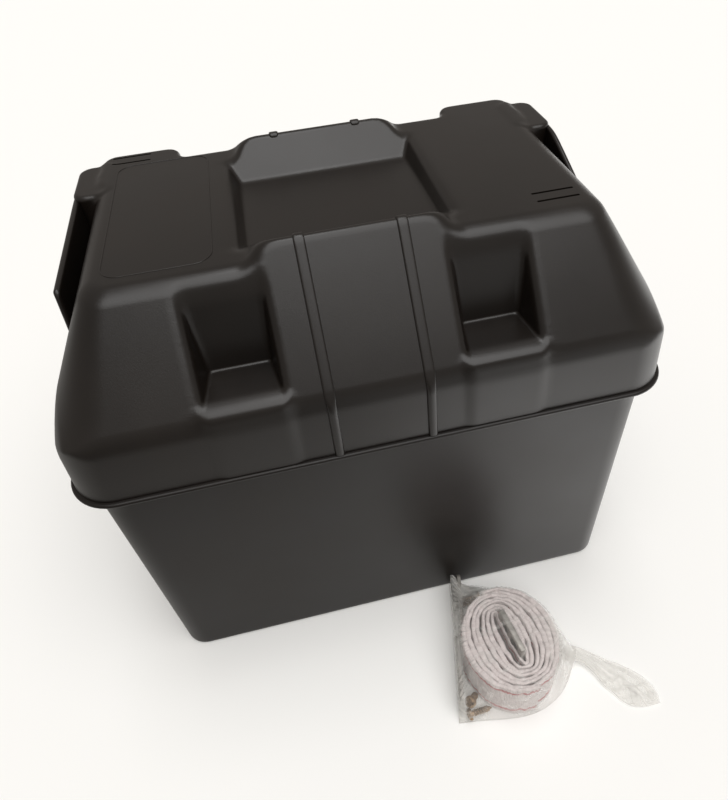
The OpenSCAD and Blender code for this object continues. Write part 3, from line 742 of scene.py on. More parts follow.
def makeRibs(r):
    # each rib follows the lid's own outline, from the crest's top over the slope and the
    # shoulder to the skirt's edge: a flat bead that turns half round below the shoulder
    outline = np.array(r["outline"])
    run = np.concatenate([[0], np.cumsum(np.hypot(*np.diff(outline, axis=0).T))])
    at = np.linspace(0, run[-1], r["samples"])
    y, z = [np.interp(at, run, outline[:, k]) for k in (0, 1)]
    phi = np.linspace(0, np.pi, 14)[None, :]
    parts = []
    for sx, sy in ((-1, -1), (-1, 1), (1, -1), (1, 1)):
        line = np.column_stack([np.full(r["samples"], sx * r["pitch"] / 2), sy * y, z])
        line, at = alongPath(settle(lidField, line, rounds=12), r["spacing"])
        line[-1, 2] = lid["foot"][2] + 0.1
        normal = slopeOf(lidField, line, 0.6) * [0, 1, 1]
        normal /= np.linalg.norm(normal, axis=1)[:, None]
        shoulder = at[np.argmin(np.abs(line[:, 2] - lid["shoulder"][2]))]
        before, over = r["change"]
        low = np.clip((at - shoulder + before) / over, 0, 1)[:, None]
        width, height, square = [a + (b - a) * low for a, b in zip(r["slope"], r["skirt"])]
        nose = np.clip(at / r["nose"], 0, 1)[:, None]
        grow = np.sqrt(np.clip(1 - (1 - nose) ** 2, 0.0004, 1))
        across = -np.sign(np.cos(phi)) * np.abs(np.cos(phi)) ** square * width / 2 * grow
        out = np.sin(phi) ** square * (height + r["sunk"]) * grow - r["sunk"]
        foot = np.broadcast_to(grow * [[0.5, -0.5]] * width, (len(at), 2))
        across = np.hstack([across, foot])
        out = np.hstack([out, np.full((len(at), 2), -r["buried"])])
        rings = line[:, None, :] + normal[:, None, :] * out[..., None]
        rings[..., 0] += across
        parts.append(closedTube(rings))
    makePiece("lid_strap_ribs", *mergeParts(parts), "lid", "lid_plastic", lidPlastic, crisp=55)


makeRibs(ribs)
print("strap ribs made")

# A fine moulded line frames the left part of the plateau; the space in it is bare.
panelLine = {"x": (-111.5, -62.0), "y": (-53.6, 62.0), "radius": 9.0, "width": 0.55, "height": 0.25}


def makePanelLine(p):
    # a thin half-round thread carried round a rounded rectangle
    cx, cy = sum(p["x"]) / 2, sum(p["y"]) / 2
    hx, hy, r = (p["x"][1] - p["x"][0]) / 2, (p["y"][1] - p["y"][0]) / 2, p["radius"]
    turn = np.linspace(0, np.pi / 2, 14)
    loop = np.vstack(fourCorners(hx, hy, r, turn)) + (cx, cy)
    normal = np.vstack(fourCorners(1, 1, 1, turn))
    onLid = settle(lidField, np.column_stack([loop, np.full(len(loop), plateauZ)]), rounds=8)
    phi = np.linspace(0, 2 * np.pi, 8, endpoint=False)
    across = np.cos(phi) * p["width"] / 2
    rise = np.sin(phi) * p["height"]
    rings = np.concatenate([
        loop[:, None, :] + normal[:, None, :] * across[None, :, None],
        onLid[:, 2, None, None] + np.broadcast_to(rise[None, :, None], (len(loop), 8, 1))], axis=2)
    makePiece("lid_panel_line", rings.reshape(-1, 3),
              [gridFaces(len(loop), 8, closeU=True, closeV=True)], "lid", "lid_plastic", lidPlastic)


makePanelLine(panelLine)
print("panel line made")

# The tub.
tub = {
    "foot": (140.0, 94.0), "lean": 4.7, "height": 163.4, "corner": 14.0, "footRound": 3.0,
    "wall": 3.0, "floor": 3.2, "rim": (152.3, 106.3), "rimCorner": 24.1, "rimThick": 2.6,
    "lip": (146.9, 100.9), "lipCorner": 18.7, "lipThick": 2.4, "lipTop": 172.0,
    "rimFillet": 1.6, "lipRound": 0.9, "floorRound": 2.5,
    "bow": 0.5,  # how far the cooled walls draw in at their middles
    "steps": (14, 30, 22),  # points round a corner, along a long side and along a short one
}


def arc(cx, cz, r, a0, a1, n=5):
    # points round a circle's middle, from one angle to the other in degrees
    a = np.radians(np.linspace(a0, a1, n))
    return np.column_stack([cx + r * np.cos(a), cz + r * np.sin(a)])


def makeTub(t):
    # a profile of (distance out from the foot's outline, height) is carried round a
    # rounded rectangle; the corner's radius follows the distance
    h, lean, w = t["height"], t["lean"], t["wall"]
    out = t["rim"][0] - t["foot"][0]
    lipOut, e = t["lip"][0] - t["foot"][0], t["rimThick"] / 2
    lipIn = lipOut - t["lipThick"]
    fillet, lipR, floorR = t["rimFillet"], t["lipRound"], t["floorRound"]
    profile = [
        np.array([[-40, 0.0], [-12, 0.0], [-5, 0.0]]),
        arc(-t["footRound"], t["footRound"], t["footRound"], -90, 0, 7),
        np.column_stack([np.linspace(0.1, lean - 0.1, 14), np.linspace(6, h - 4, 14)]),
        arc(lean + fillet, h - fillet, fillet, 180, 90, 5),
        arc(out - e, h + e, e, -90, 90, 9),
        np.array([[lipOut + 1.2, h + 2 * e]]),
        np.array([[lipOut, h + 2 * e + 1.0]]),
        arc(lipOut - lipR, t["lipTop"] - lipR, lipR, 0, 90, 4),
        arc(lipIn + lipR, t["lipTop"] - lipR, lipR, 90, 180, 4),
        np.array([[lipIn, h + 1.2], [lipIn - 0.8, h]]),
        np.column_stack([np.linspace(lean - w, -w + 0.2, 10), np.linspace(h - 1.2, 7, 10)]),
        arc(-w - floorR, t["floor"] + floorR, floorR, 0, -90, 5),
        np.array([[-12, t["floor"]], [-40, t["floor"]]]),
    ]
    profile = np.vstack(profile)
    d, z = profile[:, 0], profile[:, 1]
    # radius of the corners at each distance: foot, rim and lip have their own
    r = np.interp(d, [-40, -3, 0, lean, lipIn, lipOut, out],
                  [4, 11, t["corner"], t["corner"] + lean, t["lipCorner"] - t["lipThick"],
                   t["lipCorner"], t["rimCorner"]])
    hx, hy = t["foot"][0] + d, t["foot"][1] + d
    cornerSteps, sideX, sideY = t["steps"]
    turn = np.linspace(0, np.pi / 2, cornerSteps)
    corners = fourCorners(hx[:, None], hy[:, None], r[:, None], turn)
    loop = []
    for k, n in enumerate((sideX, sideY, sideX, sideY)):
        a, b = corners[k][:, -1:], corners[(k + 1) % 4][:, :1]
        s = np.linspace(0, 1, n + 2)[1:-1][None, :, None]
        loop += [corners[k], a + (b - a) * s]
    loop = np.concatenate(loop, axis=1)
    m = loop.shape[1]
    points = np.concatenate([loop, np.broadcast_to(z[:, None, None], (len(z), m, 1))], axis=2)
    # the walls draw in by the bow, most at the middle of each side and of the height
    x, y, zz = np.moveaxis(points, 2, 0)
    share = t["bow"] * np.clip(np.sin(np.pi * np.clip(zz / h, 0, 1)), 0, 1)
    edge = (d > -4)[:, None] & (zz > 6)
    wallX = (np.abs(np.abs(x) - hx[:, None]) < 0.01) & edge
    wallY = (np.abs(np.abs(y) - hy[:, None]) < 0.01) & edge
    drawX = np.where(wallX, np.cos(np.pi * y / (2 * t["foot"][1])) ** 2, 0)
    x = x - np.sign(x) * share * drawX
    drawY = np.where(wallY, np.cos(np.pi * x / (2 * t["foot"][0])) ** 2, 0)
    y = y - np.sign(y) * share * drawY
    points = np.stack([x, y, zz], 2).reshape(-1, 3)
    n = len(z)
    points = np.vstack([points, [0, 0, 0.0], [0, 0, t["floor"]]])
    faces = [gridFaces(n, m, closeV=True), capFaces(np.arange(m), n * m),
             capFaces((n - 1) * m + np.arange(m), n * m + 1, flip=True)]
    obj = makePiece("tub_shell", points, faces, "tub", "tub_plastic", tubPlastic, crisp=50)
    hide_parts("box_body")


makeTub(tub)
print("tub made")

# The hold-down strap.
strap = {
    "width": 31.6, "layers": 7, "core": (17.2, 4.4), "step": (1.99, 3.34),
    "turn": (-81.5, -78.0), "middle": (53.4, -151.8), "base": 0.9,
    "edgeWave": 0.9, "crush": 0.3, "ripple": 0.34, "pairing": 0.07,
    "fill": 0.94, "uneven": 0.10,  # share of the pitch that a layer fills, and how that varies
    "stitchSpacing": 23.0, "stitchWidth": 1.5, "stitchWander": 5.5, "stitchPitch": 3.2,
    "weft": 1.3, "warp": 0.9,
    "pairFrom": (20, 25),  # the layers pair up from here on, over this length
    "foldHalf": 11, "foldThin": 0.5, "foldShift": (1.3, 0.2),  # of the fold at the middle
    "upperEdge": (18, 12), "sway": 0.35,
    "clothHex": "#d8cfcd", "shadeHex": "#bdb2b0", "threadHex": "#a5101f",
}


def strapArm(q, s):
    # a spiral from the core: a squared-off ellipse that grows with the turns q
    turns = s["layers"] / 2
    a = s["core"][0] + 2 * s["step"][0] * q
    b = s["core"][1] + 2 * s["step"][1] * q
    p = 0.75 + 0.25 * q / turns
    g = 2 * np.pi * q
    c, d = np.cos(g), np.sin(g)
    x, y = a * np.sign(c) * np.abs(c) ** p, b * np.sign(d) * np.abs(d) ** p
    w = np.radians(s["turn"][0] + (s["turn"][1] - s["turn"][0]) * q / turns)
    return np.column_stack([x * np.cos(w) - y * np.sin(w), x * np.sin(w) + y * np.cos(w)])


def rowNoise(n, cell, seed):
    # random values, one each cell, joined by half cosine waves
    knots = np.random.default_rng(seed).uniform(-1, 1, int(n / cell) + 3)
    at = np.arange(n) / cell
    i = at.astype(int)
    f = (1 - np.cos(np.pi * (at - i))) / 2
    return knots[i] * (1 - f) + knots[i + 1] * f


def makeStrap(s):
    # two spiral arms that meet at the core are one long path, and a flat section with
    # soft edges is carried along it
    turns = s["layers"] / 2
    q = np.arange(int(90 * turns), 0, -1) / 90
    arm = strapArm(q, s)
    fold = strapArm(np.array([0.0]), s)[0]
    fold = np.array([fold * 0.97 + [0.5, 0], fold * 0.9])
    half = np.vstack([arm, fold])
    path, at = alongPath(np.vstack([half, -half[::-1]]), 1.0)
    n = len(at)
    tangent = np.gradient(path, axis=0)
    tangent /= np.linalg.norm(tangent, axis=1)[:, None]
    normal = np.column_stack([-tangent[:, 1], tangent[:, 0]])
    outward = np.sign((normal * path).sum(1))[:, None] * normal
    # layers lie in pairs, so the second arm moves in to the first, and both swell to
    # fill the pair where the roll is wide
    angle = np.arctan2(path[:, 1], path[:, 0]) + np.radians(80)
    pitch = np.hypot(s["step"][0] * np.cos(angle), s["step"][1] * np.sin(angle))
    start, over = s["pairFrom"]
    second = np.clip((at - at[-1] / 2 - start) / over, 0, 1)
    first = np.clip((at[-1] / 2 - start - at) / over, 0, 1)
    crush = rowNoise(n, 7.0, 3) * 0.6 + rowNoise(n, 3.1, 5) * 0.4
    thick = s["fill"] * pitch * (1 + s["uneven"] * rowNoise(n, 4.0, 11))
    # the fold at the very middle is pulled thin and lies beside the buckle
    fold = np.clip(1.4 - np.abs(at - at[-1] / 2) / s["foldHalf"], 0, 1)
    thick *= 1 - s["foldThin"] * fold
    path = path - fold[:, None] * s["foldShift"]
    shift = (s["pairing"] * pitch) * (first - second) + s["crush"] * crush
    path = path + outward * shift[:, None]
    # section: a flat band with full soft edges
    across = np.array([0, 0.3, 1.2, 3, 6, 10, 14, 18, 22, 26, 28.6, 30.4, 31.3, 31.6]) / 31.6
    swell = np.array([0.30, 0.78, 1.02, 1, 0.94, 0.9, 0.9, 0.9, 0.94, 1, 1.06, 1.02, 0.86, 0.55]) / 2
    v = np.concatenate([across, across[::-1]]) * s["width"]
    half = np.concatenate([swell, -swell[::-1]])
    m = len(v)
    # the upper edge ruffles, up and down and from side to side
    ruffle = s["edgeWave"] * (rowNoise(n, 4.6, 7) * 0.55 + rowNoise(n, 2.2, 8) * 0.45)
    start, over = s["upperEdge"]
    high = np.clip((v - start) / over, 0, 1)
    lift = high[None, :] * (ruffle[:, None] - 0.5)
    ripple = np.column_stack([rowNoise(n, 3.4 + 0.4 * (j % 5), 20 + j) for j in range(m)])
    ripple = ripple * s["ripple"] + rowNoise(n, 3.8, 60)[:, None] * high[None, :] * s["sway"]
    side = half[None, :] * thick[:, None] + ripple
    xy = path[:, None, :] + normal[:, None, :] * side[:, :, None]
    z = s["base"] + np.broadcast_to(v, (n, m)) + lift
    rings = np.concatenate([xy + np.array(s["middle"]), z[..., None]], axis=2)
    p, f = closedTube(rings)
    uv = np.column_stack([np.repeat(at, m), np.tile(v, n)])
    uv = np.vstack([uv, [0, 15], [at[-1], 15]])
    obj = makePiece("strap_roll", p, f, "tub", "webbing",
                    wovenWebbing("woven polyester webbing", s), uv)
    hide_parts("strap_webbing")


makeStrap(strap)
print("strap wound")

# The buckle and the brackets. Rounding of the edges and shift to the left are in mm, turn
# about Z and lean towards the roll in degrees.
pressed = {
    "strap_buckle": {"slot": "buckle_steel", "rounding": 0.8, "left": 2.1, "turn": 8.5, "lean": 0},
    "bracket_upper": {"slot": "bracket_steel", "rounding": 0.5, "left": 0, "turn": 0, "lean": 11},
    "bracket_lower": {"slot": "bracket_steel", "rounding": 0.5, "left": 0, "turn": 0, "lean": 0},
}
leanAxis = Vector((0.197, 0.980, 0))  # the way that the upper bracket's foot runs


def dressSteel(name, p):
    # a copy of the solid with its sheared edges rounded over
    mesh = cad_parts[name].data.copy()
    mesh.name = name + "_steel"
    bm = bmesh.new()
    bm.from_mesh(mesh)
    bmesh.ops.remove_doubles(bm, verts=bm.verts, dist=1e-6)
    bmesh.ops.dissolve_limit(bm, angle_limit=np.radians(4), verts=bm.verts, edges=bm.edges)
    low, high = np.array(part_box(name))
    middle = (low + high) / 2
    bmesh.ops.rotate(bm, cent=middle.tolist(), verts=bm.verts,
                     matrix=Matrix.Rotation(np.radians(p["turn"]), 3, "Z"))
    bmesh.ops.translate(bm, vec=(-p["left"] * mm, 0, 0), verts=bm.verts)
    bmesh.ops.rotate(bm, cent=[*middle[:2], low[2]], verts=bm.verts,
                     matrix=Matrix.Rotation(np.radians(p["lean"]), 3, leanAxis))
    sharp = [e for e in bm.edges if len(e.link_faces) == 2 and e.calc_face_angle(0) > np.radians(40)]
    bmesh.ops.bevel(bm, geom=sharp, offset=p["rounding"] * mm, segments=3, profile=0.5,
                    affect="EDGES", clamp_overlap=True)
    for f in bm.faces:
        f.smooth = True
    bm.to_mesh(mesh)
    bm.free()
    mesh.materials.clear()
    mesh.materials.append(steel)
    obj = addObject(name + "_steel", mesh)
    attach(obj, "tub")
    sharpen(obj, 40)
    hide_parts(name)


for name, values in pressed.items():
    dressSteel(name, values)
print("buckle and brackets dressed")

# The screws.
screw = {
    "length": 13.0, "radius": 2.0, "pitch": 1.4, "thread": 0.42, "headRadius": 3.4,
    "recess": 1.5, "recessHalf": 0.55, "recessReach": 2.1,
    "lies": [  # middle of the head's underside, and the way the point looks
        ((22.4, -177.6, 4.2), (1.0, 0.05, 0.0)), ((23.4, -173.2, 10.4), (0.45, 0.52, -0.70)),
        ((37.0, -111.6, 4.6), (1.0, 0.05, 0.0)), ((47.0, -112.0, 10.4), (-1.0, 0.08, -0.10)),
    ],
}


def screwShape(s):
    # radius as a function of the turn and of the way along: thread, taper and head
    m = 32
    turn = np.linspace(0, 2 * np.pi, m, endpoint=False)
    along = np.concatenate([np.linspace(s["length"], 0.4, 110), [0.2, 0.0]])
    phase = (along[:, None] / s["pitch"] - turn[None, :] / (2 * np.pi)) % 1.0
    ridge = np.clip(1 - np.abs(phase - 0.5) * 3.2, 0, 1)
    taper = np.clip((s["length"] - along) / 3.2, 0.04, 1)[:, None]
    core = (s["radius"] - s["thread"]) * taper
    grip = np.clip((along - 0.8) / 0.6, 0, 1)[:, None] * np.clip(taper * 1.3, 0, 1)
    shaft = core + s["thread"] * ridge * grip
    # head: under edge, side and dome, then the cross driven down into the dome
    r = np.array([s["headRadius"] * k for k in (0.98, 1.0, 1.0, 0.97, 0.9, 0.8, 0.7, 0.6, 0.5,
                                                0.42, 0.34, 0.26, 0.18, 0.1)])
    z = -np.array([0.0, 0.15, 0.7, 1.1, 1.5, 1.85, 2.1, 2.25, 2.34, 2.37, 2.39, 2.4, 2.4, 2.4])
    x, y = r[:, None] * np.cos(turn), r[:, None] * np.sin(turn)
    inCross = (np.minimum(np.abs(x), np.abs(y)) < s["recessHalf"]) & (r[:, None] < s["recessReach"])
    headZ = z[:, None] + np.where(inCross, s["recess"], 0)
    rings = np.concatenate([
        np.stack([shaft * np.cos(turn), shaft * np.sin(turn),
                  np.broadcast_to(along[:, None], shaft.shape)], 2),
        np.stack([x, y, headZ], 2)])
    return closedTube(rings)


def makeScrews(s):
    # each shape is turned so that its own z looks the way that its point does
    shape, faces = screwShape(s)
    parts = []
    for place, way in s["lies"]:
        w = np.array(way) / np.linalg.norm(way)
        u = np.cross(w, [0, 0.3, 1.0])
        u /= np.linalg.norm(u)
        parts.append((shape @ np.array([u, np.cross(w, u), w]) + place, faces))
    obj = makePiece("cross_recess_screws", *mergeParts(parts), "tub", "screw_metal", screwMetal,
                    crisp=50)
    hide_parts("bracket_screws")


makeScrews(screw)
print("screws made")

# The bag.
bag = {
    "outline": [  # on the floor, in mm, from the top of the sealed edge round by the front
        (34.2, -94.8), (34.2, -94.8), (34.0, -95.6), (24.4, -138.0), (14.9, -178.6), (14.7, -179.4),
        (14.7, -179.4), (15.5, -179.6), (30.0, -181.6), (45.6, -184.6),
        (57.0, -185.2), (68.0, -183.2), (78.5, -178.0), (86.0, -171.0), (90.5, -165.0),
        (97.0, -158.5), (93.0, -146.0), (83.6, -127.0), (71.5, -110.0), (57.0, -101.6),
        (43.0, -96.8), (35.0, -94.9)],
    "roll": (53.4, -151.8, 32.6, 29.4, -78.5, 33.4),  # middle, half sizes, turn, height
    "bar": (54.7, -151.7, 14.4, 2.5, -81.5, 40.3),
    "brackets": [((34.2, -99.3), (26.8, -136.1), 20.9), ((22.9, -137.8), (17.9, -174.4), 21.2)],
    "screws": [(26.0, -175.0, 8.6, 6.4, 20, 14.4), (42.0, -111.5, 10.0, 5.0, 0, 15.6)],
    "neck": (92.5, -161.5, 3.6, 4.6, -40, 8.5),
    "folded": (43.0, -109.0),  # the corner behind the roll, where the film is doubled up
    "seal": 4.2, "floorGap": 0.35, "underGap": 0.12, "topmost": 42.0, "wrinkle": 0.55,
    "grid": (8, 104, -192, -88, 0.75), "rounds": 900,  # the tent's area and step, and its sweeps
    "neckFolds": (34, 44, 7, 0.6),  # how many to a turn, reach, clear middle and depth
    "creases": (9, 7, 18, 41),  # count, shortest and longest wave, seed
    "gatherReach": 22, "foldedReach": 13,
}
# glintCreaseAlpha is the opacity of the painted glint lines on the creases
film = {"hex": "#eceae5", "flatAlpha": 0.08, "glintCreaseAlpha": 0.24, "edgeAlpha": 0.36,
        "tailAlpha": 0.30}


def chaikin(points, rounds):
    # cuts each corner of a closed outline at a quarter and three quarters
    p = np.array(points, float)
    for _ in range(rounds):
        after = np.roll(p, -1, axis=0)
        p = np.stack([0.75 * p + 0.25 * after, 0.25 * p + 0.75 * after], 1).reshape(-1, 2)
    return p


def insideOf(outline, x, y):
    # whether a ray to the right crosses the outline an odd number of times
    x0, y0 = outline.T
    x1, y1 = np.roll(outline, -1, axis=0).T
    x, y = x[..., None], y[..., None]
    drop = np.where(y1 == y0, 1, y1 - y0)
    crosses = ((y0 > y) != (y1 > y)) & (x < x0 + (y - y0) * (x1 - x0) / drop)
    return crosses.sum(-1) % 2 == 1


def ovalOver(x, y, spec):
    # how far inside a turned oval a point is, 1 at its middle, and its height
    cx, cy, a, b, turn, top = spec
    c, s = np.cos(np.radians(turn)), np.sin(np.radians(turn))
    u, v = (x - cx) * c + (y - cy) * s, -(x - cx) * s + (y - cy) * c
    return 1 - np.hypot(u / a, v / b), top


def tentHeights(b, outline):
    # the film rests on what is in the bag and elsewhere hangs between, each point at
    # the mean height of its neighbours
    x0, x1, y0, y1, step = b["grid"]
    xs, ys = np.arange(x0, x1, step), np.arange(y0, y1, step)
    x, y = np.meshgrid(xs, ys, indexing="ij")
    low = np.full(x.shape, b["floorGap"])
    for spec in [b["roll"], b["bar"], b["neck"]] + b["screws"]:
        inner, top = ovalOver(x, y, spec)
        dome = top - 1.2 * np.clip(1 - inner / 0.08, 0, 1) ** 2
        low = np.where(inner > 0, np.maximum(low, dome), low)
    for start, end, top in b["brackets"]:
        p0, p1 = np.array(start), np.array(end)
        d = p1 - p0
        t = np.clip(((x - p0[0]) * d[0] + (y - p0[1]) * d[1]) / (d @ d), 0, 1)
        near = np.hypot(x - p0[0] - t * d[0], y - p0[1] - t * d[1]) < 1.7
        low = np.where(near, np.maximum(low, top), low)
    inside = insideOf(outline, x, y)
    low = np.where(inside, low, b["floorGap"])
    z = low.copy()
    for _ in range(b["rounds"]):
        mean = (z[:-2, 1:-1] + z[2:, 1:-1] + z[1:-1, :-2] + z[1:-1, 2:]) / 4
        z[1:-1, 1:-1] = np.where(inside[1:-1, 1:-1], np.maximum(low[1:-1, 1:-1], mean), b["floorGap"])
    return xs, ys, z, low


def sampleGrid(xs, ys, z, x, y):
    # heights between the grid's points, mixed from the four round each
    i = np.clip((x - xs[0]) / (xs[1] - xs[0]), 0, len(xs) - 1.001)
    j = np.clip((y - ys[0]) / (ys[1] - ys[0]), 0, len(ys) - 1.001)
    i0, j0 = i.astype(int), j.astype(int)
    f, g = i - i0, j - j0
    return (z[i0, j0] * (1 - f) * (1 - g) + z[i0 + 1, j0] * f * (1 - g)
            + z[i0, j0 + 1] * (1 - f) * g + z[i0 + 1, j0 + 1] * f * g)


def creases(p, count, low, high, seed):
    # folds from many plane waves across the film, each sharpened to a ridge
    r = np.random.default_rng(seed)
    total = np.zeros(p.shape[:-1])
    for _ in range(count):
        way = r.normal(size=3) * (1, 1, 0.7)
        way /= np.linalg.norm(way)
        wave = 2 * np.pi / r.uniform(low, high)
        total += 1 - 2 * np.abs(np.sin(p @ way * wave / 2 + r.uniform(0, 6.28))) ** 0.8
    return total / np.sqrt(count)


def makeBag(b):
    # rays run from the roll's middle to the outline and fall with the film's height, and
    # folds push them out and in
    outline = chaikin(b["outline"], 3)
    outline, _ = alongPath(np.vstack([outline, outline[:1]]), 1.15)
    outline = outline[:-1]
    xs, ys, z, low = tentHeights(b, outline)
    middle = np.array(b["roll"][:2])
    s = np.linspace(0.02, 1, 420)
    dense = middle + (outline[:, None, :] - middle) * s[None, :, None]
    heights = sampleGrid(xs, ys, z, dense[..., 0], dense[..., 1])
    # each ray is spaced evenly along its own fall. The rays' runs, each 0 to 1, are set
    # 2 apart so that one interpolation serves them all
    n, m = len(outline), 74
    rays = np.dstack([dense, heights])
    run = np.cumsum(np.linalg.norm(np.diff(rays, axis=1), axis=2), axis=1)
    row = 2.0 * np.arange(n)[:, None]
    run = (row + np.hstack([np.zeros((n, 1)), run / run[:, -1:]])).ravel()
    at = (row + np.linspace(0, 1, m)).ravel()
    rings = np.stack([np.interp(at, run, rays[..., i].ravel()).reshape(n, m).T for i in range(3)], 2)
    for _ in range(3):
        rings[1:-1] = (rings[:-2] + 2 * rings[1:-1] + rings[2:]) / 4
    # folds: fine ones everywhere, and long ones that run to the neck
    held = sampleGrid(xs, ys, low, rings[..., 0], rings[..., 1])
    free = np.clip((rings[..., 2] - held) / 3, 0.25, 1)
    neck = np.array(b["neck"][:2])
    bearing = np.arctan2(rings[..., 1] - neck[1], rings[..., 0] - neck[0])
    reach = np.linalg.norm(rings[..., :2] - neck, axis=2)
    count, far, clear, depth = b["neckFolds"]
    toNeck = np.sin(bearing * count) * np.clip(1 - reach / far, 0, 1)
    toNeck *= np.clip(reach / clear, 0, 1) * depth
    fold = b["wrinkle"] * creases(rings, *b["creases"]) * free + toNeck
    outward = rings - np.array([*middle, 12.0])
    outward /= np.linalg.norm(outward, axis=2)[..., None]
    fade = np.linspace(1, 0, m)[:, None] ** 0.4
    rings += outward * (fold * fade + 0.25)[..., None]
    rings[..., 2] = np.clip(rings[..., 2], b["floorGap"], b["topmost"])
    rings[-1, :, 2] = b["floorGap"]
    # the underside is two smaller rings, closed at the middle
    foot = [*middle, b["underGap"]]
    inner = (rings[-1][None] - foot) * np.array([0.97, 0.5])[:, None, None] * [1, 1, 0] + foot
    points = np.concatenate([rings, inner]).reshape(-1, 3)
    top, bottom = len(points), len(points) + 1
    points = np.vstack([points, rings[0].mean(0), foot])
    faces = [gridFaces(m + 2, n, closeV=True), capFaces(np.arange(n), top),
             capFaces((m + 1) * n + np.arange(n), bottom, flip=True)]
    # milky where it is gathered, sealed or doubled up
    gather = 1.2 - np.linalg.norm(points[:, :2] - neck, axis=1) / b["gatherReach"]
    start, end = np.array(b["outline"][0]), np.array(b["outline"][5])
    d = (end - start) / np.linalg.norm(end - start)
    fromSeal = np.abs((points[:, 0] - start[0]) * d[1] - (points[:, 1] - start[1]) * d[0])
    sealed = np.clip((b["seal"] - fromSeal) / 0.6 + 0.5, 0, 1) * 0.7
    folded = 1.3 - np.linalg.norm(points[:, :2] - b["folded"], axis=1) / b["foldedReach"]
    milky = np.maximum(1.5 * np.clip(folded, 0, 1), np.maximum(np.clip(gather, 0, 1), sealed))
    return makePiece("film_bag", points, faces, "tub", "clear_film", bagFilm, gather=milky)


tail = {
    "upper": [(93.0, -155.6), (97.5, -157.6), (103.5, -161.6), (109.8, -166.8), (117.0, -171.4),
              (122.5, -175.6), (127.8, -182.0), (131.0, -188.5), (131.4, -193.5), (130.2, -197.0)],
    "lower": [(87.8, -163.4), (93.2, -164.6), (97.5, -167.8), (100.6, -173.4), (103.0, -180.6),
              (106.0, -184.6), (109.0, -190.4), (113.5, -195.4), (120.5, -197.3), (130.2, -197.3)],
    "rise": [7.0, 5.6, 4.2, 3.2, 2.6, 2.2, 1.9, 1.6, 1.3, 0.9],
    "half": [4.6, 3.6, 2.6, 2.0, 1.6, 1.4, 1.2, 1.0, 0.7, 0.3],
    "pleats": (13, 1.1), "ridge": (1.5, 0.10),  # count and height, height and width
    "creases": (6, 5, 12, 77), "creaseDepth": 0.45, "low": 0.15, "high": 11.5,
}


def makeTail(t):
    # a flattened tube between two edges, pleated from the neck, with one sharp fold
    stops = np.linspace(0, 1, len(t["upper"]))
    n, m = 90, 44
    u = np.linspace(0, 1, n)
    edge = [np.column_stack([np.interp(u, stops, np.array(t[k])[:, i]) for i in (0, 1)])
            for k in ("upper", "lower")]
    for e in edge:
        for _ in range(6):
            e[1:-1] = (e[:-2] + 2 * e[1:-1] + e[2:]) / 4
    rise, half = np.interp(u, stops, t["rise"]), np.interp(u, stops, t["half"])
    phi = np.linspace(0, 2 * np.pi, m, endpoint=False)
    v, up = np.cos(phi), np.sin(phi)
    middle, reach = (edge[0] + edge[1]) / 2, (edge[0] - edge[1]) / 2
    xy = middle[:, None, :] + reach[:, None, :] * v[None, :, None]
    count, depth = t["pleats"]
    pleats = np.sin(v[None, :] * count + 2.0 * u[:, None]) * (1 - u[:, None]) ** 1.5 * depth
    fromFold = v[None, :] + 0.05 - 0.5 * (u[:, None] - 0.6)
    starts = np.clip(u[:, None] * 3 - 0.6, 0, 1)
    height, width = t["ridge"]
    ridge = height * np.exp(-(fromFold / width) ** 2) * starts * np.clip((1 - u[:, None]) * 6, 0, 1)
    z = rise[:, None] + half[:, None] * up[None, :] * 0.8 + pleats + ridge
    rings = np.concatenate([xy, z[..., None]], axis=2)
    rings[..., 2] += t["creaseDepth"] * creases(rings, *t["creases"]) * np.clip(half[:, None], 0, 1)
    rings[..., 2] = np.clip(rings[..., 2], t["low"], t["high"])
    points, faces = closedTube(rings)
    # the sharp fold is made milky white along its line: partly the real whitening of folded film,
    # partly a painted highlight
    fold = np.exp(-(fromFold / (width / 2)) ** 2) * starts
    gather = np.clip(0.45 + 0.5 * (1 - u[:, None]) + 1.4 * fold, 0, 1.8).ravel()
    makePiece("film_bag_tail", points, faces, "tub", "clear_film", bagFilm,
              gather=np.concatenate([gather, [0.9, 0.6]]))


bagFilm = clearFilm("clear polyethylene film", film)
filmBag = makeBag(bag)
makeTail(tail)
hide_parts("kit_bag")
print("bag closed")

# Floor, world and lamps.
studio = {
    "floorHex": "#f4f4f2", "floorSize": 8.0,
    # Painted shade and a painted glow on the floor, seen only in reflections: darker to the left and
    # far in front, glowing on the right where a window would be, and held back at the box's foot.
    "shadeHex": "#b2b1ae", "shade": (-0.25, 0.02),  # from and to, in m along X
    "glow": (-0.03, 0.15, 1.05),  # from, to and strength
    "dim": (-0.42, -0.29, 0.30),  # further to the front than this it is dark
    "close": (-0.10, -0.17, 0.45),  # and this much of the glow is left at the box's foot
    "worldHex": "#fff7ef", "worldStrength": 0.36,
    "softboxes": [  # name, direction, strength, how wide it looks in degrees
        ("ceiling", (0.12, -0.42, 1.0), 2.15, 62),
        ("overhead", (0.03, 0.20, 1.0), 0.42, 22),
    ],
}


